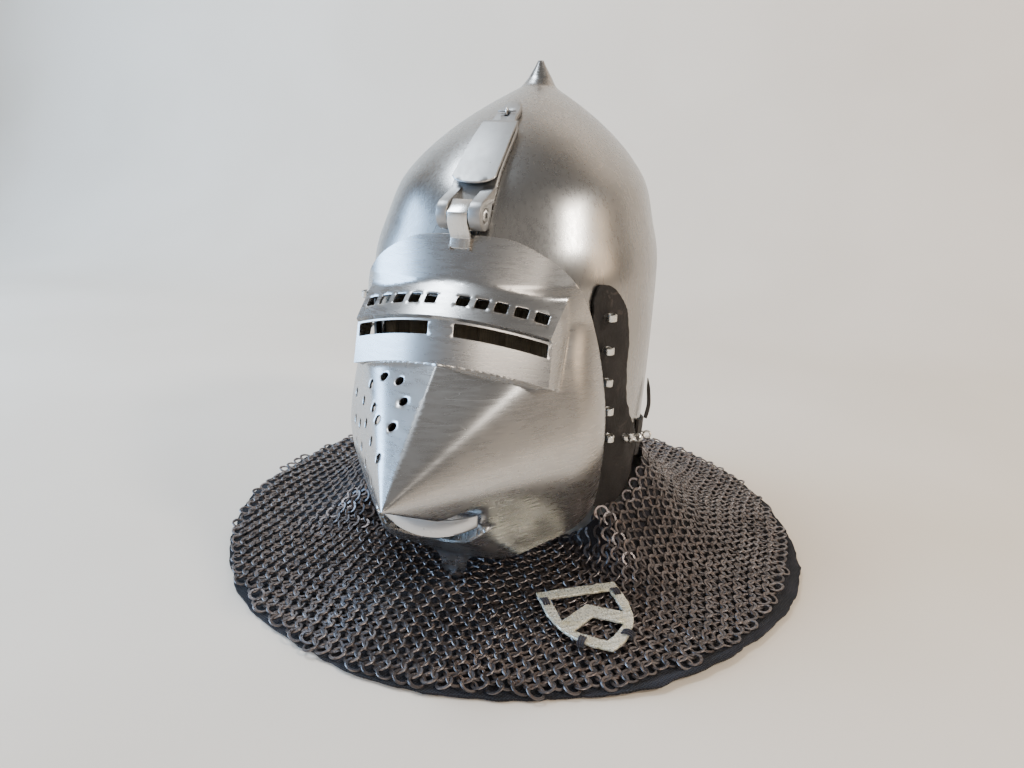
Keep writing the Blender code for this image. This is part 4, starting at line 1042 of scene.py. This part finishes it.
def make_vervelles():
    """Vervelles beside the face, then along the row round the back."""
    points, faces = vervelle_shape()
    places = []
    for z in STRIP_VERVELLE_Z:
        degrees = 53.5 + 4.0 * max(0.0, (0.155 - z) / 0.05)
        places.append((math.radians(degrees), z, 0.0))
    places += [(math.radians(a), float(vervelle_line(math.radians(a))), 1.0)
               for a in BACK_VERVELLE_DEGREES]
    rows = [(f"left_{i + 1:02d}", *place) for i, place in enumerate(places)]
    rows += [(f"right_{i + 1:02d}", -a, z, turn) for i, (a, z, turn) in enumerate(places)]
    rows.append(("nape", math.pi, float(vervelle_line(math.pi)), 1.0))
    for name, angle, z, turn in rows:
        lift = GAP + LEATHER + GAP + 0.0014 + VERVELLE_RADIUS * math.cos(math.pi / 8)
        centre, further = (on_skull([angle * UNROLL], [z], lift + extra)[0] for extra in (0, 0.001))
        out = Vector(further - centre).normalized()
        step = 0.02 * (1 if angle > 0 else -1)
        if turn:
            after = angle + step
            ahead = on_skull([after * UNROLL], [float(vervelle_line(after))], lift)[0]
        else:
            ahead = on_skull([angle * UNROLL], [z + 0.002], lift)[0]
        row = Vector(ahead - centre).normalized()
        row = (row - out * row.dot(out)).normalized()
        twist = Matrix.Rotation(float(random.uniform(-0.12, 0.12)), 3, out)
        turned = twist @ Matrix((out.cross(row), out, row)).transposed()
        place = Matrix.Translation(centre) @ turned.to_4x4()
        mesh_object(f"vervelle_tube_{name}", [place @ Vector(p) for p in points], faces,
                    vervelle_steel, "helmet", [f"vervelle_{name}"])


make_leather()
make_vervelles()

# ---- aventail: mail rings on a cloth

RING_OUTER = 0.0055
RING_INNER = 0.0036
RING_THICK = 0.0011
RING_LEAN = 0.27
RING_PITCH = 0.0096
ROW_PITCH = 0.0050
SECTORS = 6

neck_degrees = np.arange(-180, 181)
known = np.array(NECK)
neck_table = np.column_stack([
    np.interp(np.abs(neck_degrees), known[:, 0], known[:, 1]) * np.sign(neck_degrees),
    np.interp(np.abs(neck_degrees), known[:, 0], known[:, 2]),
    np.interp(np.abs(neck_degrees), known[:, 0], known[:, 3])])
weights = np.exp(-0.5 * (np.arange(-9, 10) / 3.5) ** 2)
weights /= weights.sum()
around = np.vstack([neck_table[-10:-1], neck_table, neck_table[1:10]])
neck_table = np.column_stack([np.convolve(column, weights, "valid") for column in around.T])


def aventail(angle, share):
    """Top of the mail at an angle and a share of the way out, gently uneven."""
    degrees = np.degrees(np.arctan2(np.sin(angle), np.cos(angle)))
    inner = np.column_stack([np.interp(degrees, neck_degrees, column) for column in neck_table.T])
    edge = MAIL_RADIUS * np.column_stack([np.sin(angle), -np.cos(angle)])
    across = inner[:, :2] + (edge - inner[:, :2]) * share[:, None]
    fall = np.maximum(1 - share / FLAT_SHARE, 0) ** NECK_FLARE
    x, y = across.T
    swell = (np.sin(41 * x + 1.3) * np.sin(37 * y + 0.4) + np.sin(63 * x - 58 * y)) * 0.5 + 0.9
    swell = 0.0011 * swell * np.clip(share * 4, 0, 1) * np.clip((1.06 - share) * 6, 0, 1)
    z = MAIL_TOP + (inner[:, 2] - MAIL_TOP) * fall + swell
    return np.column_stack([across, z])


share_steps = np.linspace(0, 1, 61)
table_angles = np.radians(np.arange(-180, 181, 2))
reach_table = []
for table_angle in table_angles:
    profile = aventail(np.full(61, table_angle), share_steps)
    lengths = np.concatenate([[0], np.cumsum(np.linalg.norm(np.diff(profile, axis=0), axis=1))])
    reach_table.append(lengths)
reach_table = np.array(reach_table)


def mail_surface(x, y):
    """The mail laid flat round the helmet's axis, carried to where it lies: its top surface."""
    angle = np.arctan2(x, -y)
    reach = np.hypot(x, y)
    lengths = np.column_stack([np.interp(angle, table_angles, column) for column in reach_table.T])
    neck_radius = np.linalg.norm(aventail(angle, np.zeros(len(angle)))[:, :2], axis=1)
    spread = 0.5 * (lengths[:, -1] + MAIL_RADIUS - neck_radius)
    t = 1 - (MAIL_RADIUS - reach) / spread
    share = np.array([np.interp(v * row[-1], row, share_steps) for v, row in zip(t, lengths)])
    share = np.where(t > 1, 1 + (reach - MAIL_RADIUS) / (MAIL_RADIUS - neck_radius), share)
    return aventail(angle, share), t


def ring_shape():
    """A flat riveted ring round Z: a band with rounded edges, wider at the lap, and its rivet."""
    segments, rivet_sides = 26, 6
    middle, half = (RING_OUTER + RING_INNER) / 2, (RING_OUTER - RING_INNER) / 2
    section = [(-1.0, 0.0), (-0.72, 0.92), (0.72, 0.92), (1.0, 0.0), (0.72, -0.92), (-0.72, -0.92)]
    points = []
    for i in range(segments):
        turn = 2 * math.pi * i / segments
        lap = math.exp(-(min(turn, 2 * math.pi - turn) / 0.42) ** 2)
        for a, b in section:
            radius = middle + a * half * (1 + 0.30 * lap)
            points.append((radius * math.cos(turn), radius * math.sin(turn),
                           b * RING_THICK / 2 * (1 + 0.32 * lap)))
    quads = bands([*range(segments), 0], len(section))
    first = len(points)
    top = RING_THICK / 2 * 1.22
    for radius, z in ((0.00075, top - 0.0001), (0.00055, top + 0.00035)):
        points += [(middle + radius * a, radius * b, z) for a, b in polygon(rivet_sides)]
    points.append((middle, 0, top + 0.00050))
    quads += bands(range(2), rivet_sides, first)
    head = first + rivet_sides
    tips = [(head + k, head + (k + 1) % rivet_sides, head + rivet_sides)
            for k in range(rivet_sides)]
    # The rivet's foot lies inside the band, so a part of its underside is left open.
    tips += [(first + k, first + k - 1, first) for k in range(rivet_sides - 2, 1, -1)]
    return np.array(points), np.array(quads), np.array(tips)


def make_mail():
    """Rows of leaning rings laid over the aventail's surface, one mesh to a sector."""
    half_rows, half_columns = int(2 * MAIL_RADIUS / ROW_PITCH) // 2 + 1, 26
    x, y, parity = np.array([((k + 0.5 * (row % 2)) * RING_PITCH, row * ROW_PITCH, row % 2)
                             for row in range(-half_rows, half_rows + 1)
                             for k in range(-half_columns, half_columns + 1)]).T
    x = x + 0.0016 * np.sin(y * 55 + 0.7) + 0.0010 * np.sin(x * 48)
    y = y + 0.0022 * np.sin(x * 31 + 2.0) + 0.0008 * np.sin(x * 70 + y * 30)
    near = np.hypot(x, y) < MAIL_RADIUS - RING_OUTER * 0.25
    x, y, parity = x[near], y[near], parity[near]
    top, share = mail_surface(x, y)
    kept = share > 0.015
    x, y, parity, top = x[kept], y[kept], parity[kept], top[kept]
    step = 0.0008
    e1 = unit(mail_surface(x + step, y)[0] - mail_surface(x - step, y)[0])
    normal = unit(np.cross(e1, mail_surface(x, y + step)[0] - mail_surface(x, y - step)[0]))
    e2 = np.cross(normal, e1)
    number = len(x)
    draw = np.random.default_rng(21)
    lean = ((RING_LEAN + draw.normal(0, 0.035, number)) * np.where(parity > 0, 1, -1))[:, None]
    pitch = draw.normal(0, 0.05, number)[:, None]
    a1 = e1 * np.cos(lean) + normal * np.sin(lean)
    a2 = e2 * np.cos(pitch) + (normal * np.cos(lean) - e1 * np.sin(lean)) * np.sin(pitch)
    up = np.cross(a1, a2)
    centre = top - normal * (MAIL_THICKNESS / 2)
    for across in (e1, e2):
        centre = centre + across * draw.normal(0, 0.00025, number)[:, None]
    turn = (np.where(parity > 0, 0.0, math.pi) + draw.normal(0, 0.65, number))[:, None]
    wide = (1 + draw.normal(0, 0.025, number))[:, None]
    ring, quads, tips = ring_shape()
    ring_x, ring_y, ring_z = ring.T[:, None]
    sector = ((np.arctan2(x, -y) + math.pi) / (2 * math.pi) * SECTORS).astype(int) % SECTORS
    for part in range(SECTORS):
        chosen = sector == part
        cos, sin = np.cos(turn[chosen]), np.sin(turn[chosen])
        px = (ring_x * cos - ring_y * sin) * wide[chosen]
        py = (ring_x * sin + ring_y * cos) * (2 - wide[chosen])
        points = (centre[chosen][:, None] + px[..., None] * a1[chosen][:, None]
                  + py[..., None] * a2[chosen][:, None] + ring_z[..., None] * up[chosen][:, None])
        points = points.reshape(-1, 3)
        points[:, 2] = np.maximum(points[:, 2], LOWEST_RING_Z)
        starts = (np.arange(np.count_nonzero(chosen)) * len(ring))[:, None, None]
        corners = [(shape[None] + starts).reshape(-1, shape.shape[1]) for shape in (quads, tips)]
        begins = [np.arange(len(corners[0])) * 4, corners[0].size + np.arange(len(corners[1])) * 3]
        mesh = bpy.data.meshes.new(f"mail_rings_{part + 1}")
        mesh.vertices.add(len(points))
        mesh.vertices.foreach_set("co", points.astype(np.float32).ravel())
        mesh.loops.add(corners[0].size + corners[1].size)
        loops = np.concatenate([corner.ravel() for corner in corners])
        mesh.loops.foreach_set("vertex_index", loops.astype(np.int32))
        mesh.polygons.add(len(corners[0]) + len(corners[1]))
        mesh.polygons.foreach_set("loop_start", np.concatenate(begins).astype(np.int32))
        mesh.update(calc_edges=True)
        smooth(mesh, 48)
        piece(mesh.name, mesh, mail_iron, "helmet", ["aventail_mail"])


def make_lining():
    """Black cloth under the mail, a little larger, with an uneven edge that lifts in places."""
    columns = 360
    angles = np.linspace(-math.pi, math.pi, columns, endpoint=False)
    rough = np.random.default_rng(4).normal(0, 1, columns)
    rough = (rough + np.roll(rough, 1) + np.roll(rough, 2)) / 1.73
    beyond = 0.0012 + 0.0078 * np.exp(-((angles - 1.25) / 0.60) ** 2)
    beyond += 0.0012 * np.sin(angles * 9 + 1) + 0.0006 * rough
    neck_radius = np.linalg.norm(aventail(angles, np.zeros(columns))[:, :2], axis=1)
    edge = 1 + beyond / (MAIL_RADIUS - neck_radius)
    shares = np.concatenate([np.linspace(0.0, 0.95, 40), np.linspace(0.965, 1.0, 4)])
    rows = []
    for share in shares:
        level = share * edge
        top = aventail(angles, level)
        top[:, 2] -= MAIL_THICKNESS + GAP
        outer = np.clip((level - 0.99) / 0.04, 0, 1)
        lift = outer * (0.5 + 0.5 * np.sin(angles * 7 + 2)) * 0.0016
        lift += outer * 0.0020 * np.exp(-((angles - 1.25) / 0.7) ** 2)
        top[:, 2] = np.maximum(top[:, 2] + lift, LOWEST_CLOTH_Z)
        rows.append(top)
    under = [row - np.array([0, 0, CLOTH]) for row in rows]
    points = np.vstack(rows + under[::-1])
    faces = bands([*range(2 * len(shares)), 0], columns)
    lining = mesh_object("lining_cloth", points, faces, black_felt, "helmet", ["aventail_lining"])


make_mail()
make_lining()

# ---- badge


def make_badge():
    """A small openwork shield with a chevron, tied to the mail with thread."""
    half = [(0, 0.028), (0.028, 0.028), (0.028, 0.004), (0.0235, -0.013), (0.013, -0.028),
            (0, -0.037)]
    upper = [(0.0, 0.0085), (0.0215, -0.0045), (0.0215, 0.0205), (-0.0215, 0.0205),
             (-0.0215, -0.0045)]
    lower = [(0.0, -0.0035), (0.0175, -0.0145), (0.0085, -0.0225), (0.0, -0.0285),
             (-0.0085, -0.0225), (-0.0175, -0.0145)]
    curved = smooth_curve(half[2:], 6)
    outline = ragged(mirrored([*half[:2], *[tuple(p) for p in curved]]), 0.00012, 0.0012, 3)
    holes = [ragged(loop, 0.00012, 0.0012, seed) for seed, loop in ((8, upper), (9, lower))]
    flat = flat_mesh(outline, holes, 0.0012)
    tilt = Matrix.Translation((0.1003, -0.1277, MAIL_TOP + 0.0028)) @ Matrix.Rotation(0.61, 4, "Z")
    tilt = np.array(tilt @ Matrix.Rotation(0.02, 4, "X"))

    def place(x, y, lift):
        crumb = 0.00018 * np.sin(x * 5200 + 3 * np.sin(y * 3100)) * np.sin(y * 4700)
        z = lift + np.where(np.asarray(lift) > 0.001, crumb, 0)
        local = np.column_stack([x, y, z, np.ones(len(x))])
        return (local @ tilt.T)[:, :3]

    wrapped("badge_plate", place, flat, 0.0, 0.0018, glitter, "helmet", ["badge_shield"],
            "silver_finish", rim=0.2)
    ties = ((0.0250, 0.0175, 0.0), (-0.0250, 0.0175, 0.0),
            (0.0150, -0.0245, 0.75), (-0.0150, -0.0245, -0.75))
    for number, (x, y, turn) in enumerate(ties):
        loops = []
        for i in range(61):
            phase = 2 * math.pi * i / 20
            along_tie = (i / 60 - 0.5) * 0.0050
            across_tie = 0.0036 * math.cos(phase)
            high = 0.0009 + 0.0022 * math.sin(phase)
            a = along_tie * math.cos(turn) - across_tie * math.sin(turn)
            b = along_tie * math.sin(turn) + across_tie * math.cos(turn)
            local = np.array([x + a, y + b, high, 1.0])
            loops.append((tilt @ local)[:3])
        tube(f"badge_tie_{number + 1}", loops, 0.00075, 8, black_thread, "helmet")


make_badge()

# ---- inside: liner and chin strap


def make_liner():
    """Quilted liner: a padded dome whose vertical channels are sewn down."""
    columns, half, highest = 240, 60, 0.955
    angles = np.linspace(0, 2 * math.pi, columns, endpoint=False)
    turned = np.degrees(np.arccos(np.cos(angles)))
    bottom = np.interp(turned, (0, 50, 64, 180), (0.209, 0.209, 0.118, 0.098))
    seam = np.abs(np.sin(angles * 12)) ** 0.5
    levels = np.linspace(0, highest, half)
    rows = []
    for side, heights in ((1, levels), (-1, levels[::-1])):
        for level in heights:
            share = level / highest
            end = min(1.0, share / 0.03 + 0.3, (1 - share) / 0.02 + 0.4)
            lift = -SKULL_PLATE - 0.0026 - 0.0045 + side * (0.0044 * seam + 0.0008) * end
            rows.append(on_skull(angles * UNROLL, bottom + (0.318 - bottom) * level, lift))
    faces = bands(range(half), columns) + bands([*range(half, 2 * half), 0], columns)
    faces += [tuple(range(row * columns, (row + 1) * columns)) for row in (half - 1, half)]
    liner = mesh_object("quilted_liner", np.vstack(rows), faces, linen, "helmet", ["helmet_liner"])


def make_chin_strap():
    """Two leather straps that meet at the CAD's buckle, each an arc in a plane across the face."""
    for name, (x0, z0, x1, z1, sag) in (("right", (-0.0800, 0.130, 0.0195, 0.052, 0.022)),
                                        ("left", (0.0800, 0.130, 0.0405, 0.0655, 0.006))):
        share = np.linspace(0, 1, 61)
        line = np.array([x0 + (x1 - x0) * share,
                         z0 + (z1 - z0) * share - sag * np.sin(math.pi * share)])
        route = np.cumsum(np.concatenate([[0], np.hypot(*np.diff(line))]))

        def strap(u, y, lift, line=line, route=route):
            (x, z), (x_after, z_after), (x_before, z_before) = (
                [np.interp(u + step, route, row) for row in line] for step in (0, 5e-4, -5e-4))
            dx, dz = x_after - x_before, z_after - z_before
            length = np.maximum(np.hypot(dx, dz), 1e-9)
            return np.column_stack([x - dz / length * lift, y - 0.023, z + dx / length * lift])

        start, end, side = 0.0006, route[-1] - 0.0006, 0.009
        edge = rounded_loop([(start, -side), (end, -side), (end, side), (start, side)], 0.0015, 3)
        wrapped(f"strap_{name}", strap, flat_mesh(edge, [], 0.0025), 0.0002, 0.0020, strap_leather,
                "helmet", [f"chin_strap_{name}"], "worn_leather")
    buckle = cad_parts["chin_buckle"].data.materials
    buckle.clear()
    buckle.append(hinge_bright)


make_liner()
make_chin_strap()

# ---- floor, lights and camera


def make_backdrop():
    """A pale paper sweep: floor, a wide bend and a wall."""
    foot, bend = 0.62, 0.5
    section = [(-5.0, 0.0), (foot, 0.0)]
    section += [(foot + bend * math.sin(a), bend - bend * math.cos(a))
                for a in np.linspace(0.05, math.pi / 2, 24)]
    section += [(foot + bend, 4.5)]
    points = [(x, y, z) for y, z in section for x in (-7.0, 7.0)]
    faces = [(2 * i, 2 * i + 1, 2 * i + 3, 2 * i + 2) for i in range(len(section) - 1)]
    mesh = bpy.data.meshes.new("studio_sweep")
    mesh.from_pydata(points, [], faces)
    mesh.shade_smooth()
    mesh.materials.append(backdrop_material())
    sweep = bpy.data.objects.new("studio_sweep", mesh)
    scene.collection.objects.link(sweep)


def area_light(name, place, target, size, power, colour):
    """A rectangular lamp that faces a target."""
    data = bpy.data.lights.new(name, "AREA")
    data.shape = "RECTANGLE"
    data.size, data.size_y = size
    data.energy = power
    data.color = colour
    lamp = bpy.data.objects.new(name, data)
    lamp.location = place
    lamp.rotation_euler = (Vector(target) - Vector(place)).to_track_quat("-Z", "Y").to_euler()
    scene.collection.objects.link(lamp)


def make_world():
    """Even, slightly warm light from all round."""
    world = bpy.data.worlds.new("studio_air")
    scene.world = world
    world.use_nodes = True
    background = world.node_tree.nodes["Background"]
    background.inputs["Color"].default_value = (0.80, 0.755, 0.705, 1.0)
    background.inputs["Strength"].default_value = 0.31


def make_camera():
    """The camera, a little above the face and to its left, tipped down and rolled."""
    data = bpy.data.cameras.new("photo_view")
    data.sensor_width = 36.0
    data.lens = 25.46
    data.clip_start = 0.01
    camera = bpy.data.objects.new("photo_view", data)
    ahead = Vector((-0.30956, 0.89955, -0.30819)).normalized()
    right = ahead.cross(Vector((0, 0, 1))).normalized()
    down = ahead.cross(right)
    roll = math.radians(-1.51)
    across = right * math.cos(roll) + down * math.sin(roll)
    up = -(down * math.cos(roll) - right * math.sin(roll))
    turn = Matrix((across, up, -ahead)).transposed()
    camera.matrix_world = Matrix.Translation((0.17825, -0.52211, 0.2932)) @ turn.to_4x4()
    scene.collection.objects.link(camera)
    scene.camera = camera


make_backdrop()
make_world()
area_light("window_left", (-1.75, -0.6, 0.6), (0, 0, 0.15), (1.8, 1.1), 76, (0.43, 0.67, 1.0))
area_light("ceiling_left", (-0.88, 0.05, 1.8), (0, 0, 0.1), (0.75, 0.6), 30, (0.80, 0.90, 1.0))
area_light("lamp_right", (1.38, -0.35, 1.30), (0, 0, 0.1), (0.22, 0.22), 18, (1.0, 0.93, 0.83))
area_light("front_fill", (0.6, -2.0, 1.0), (0, 0, 0.1), (1.3, 0.7), 20, (1.0, 0.87, 0.73))
area_light("warm_right", (1.7, 0.1, 0.75), (0, 0, 0.15), (0.5, 0.9), 5, (1.0, 0.74, 0.50))
area_light("wall_wash", (0.5, 0.55, 1.9), (0.5, 1.75, 1.45), (2.2, 0.5), 9, (1.0, 0.84, 0.68))
make_camera()
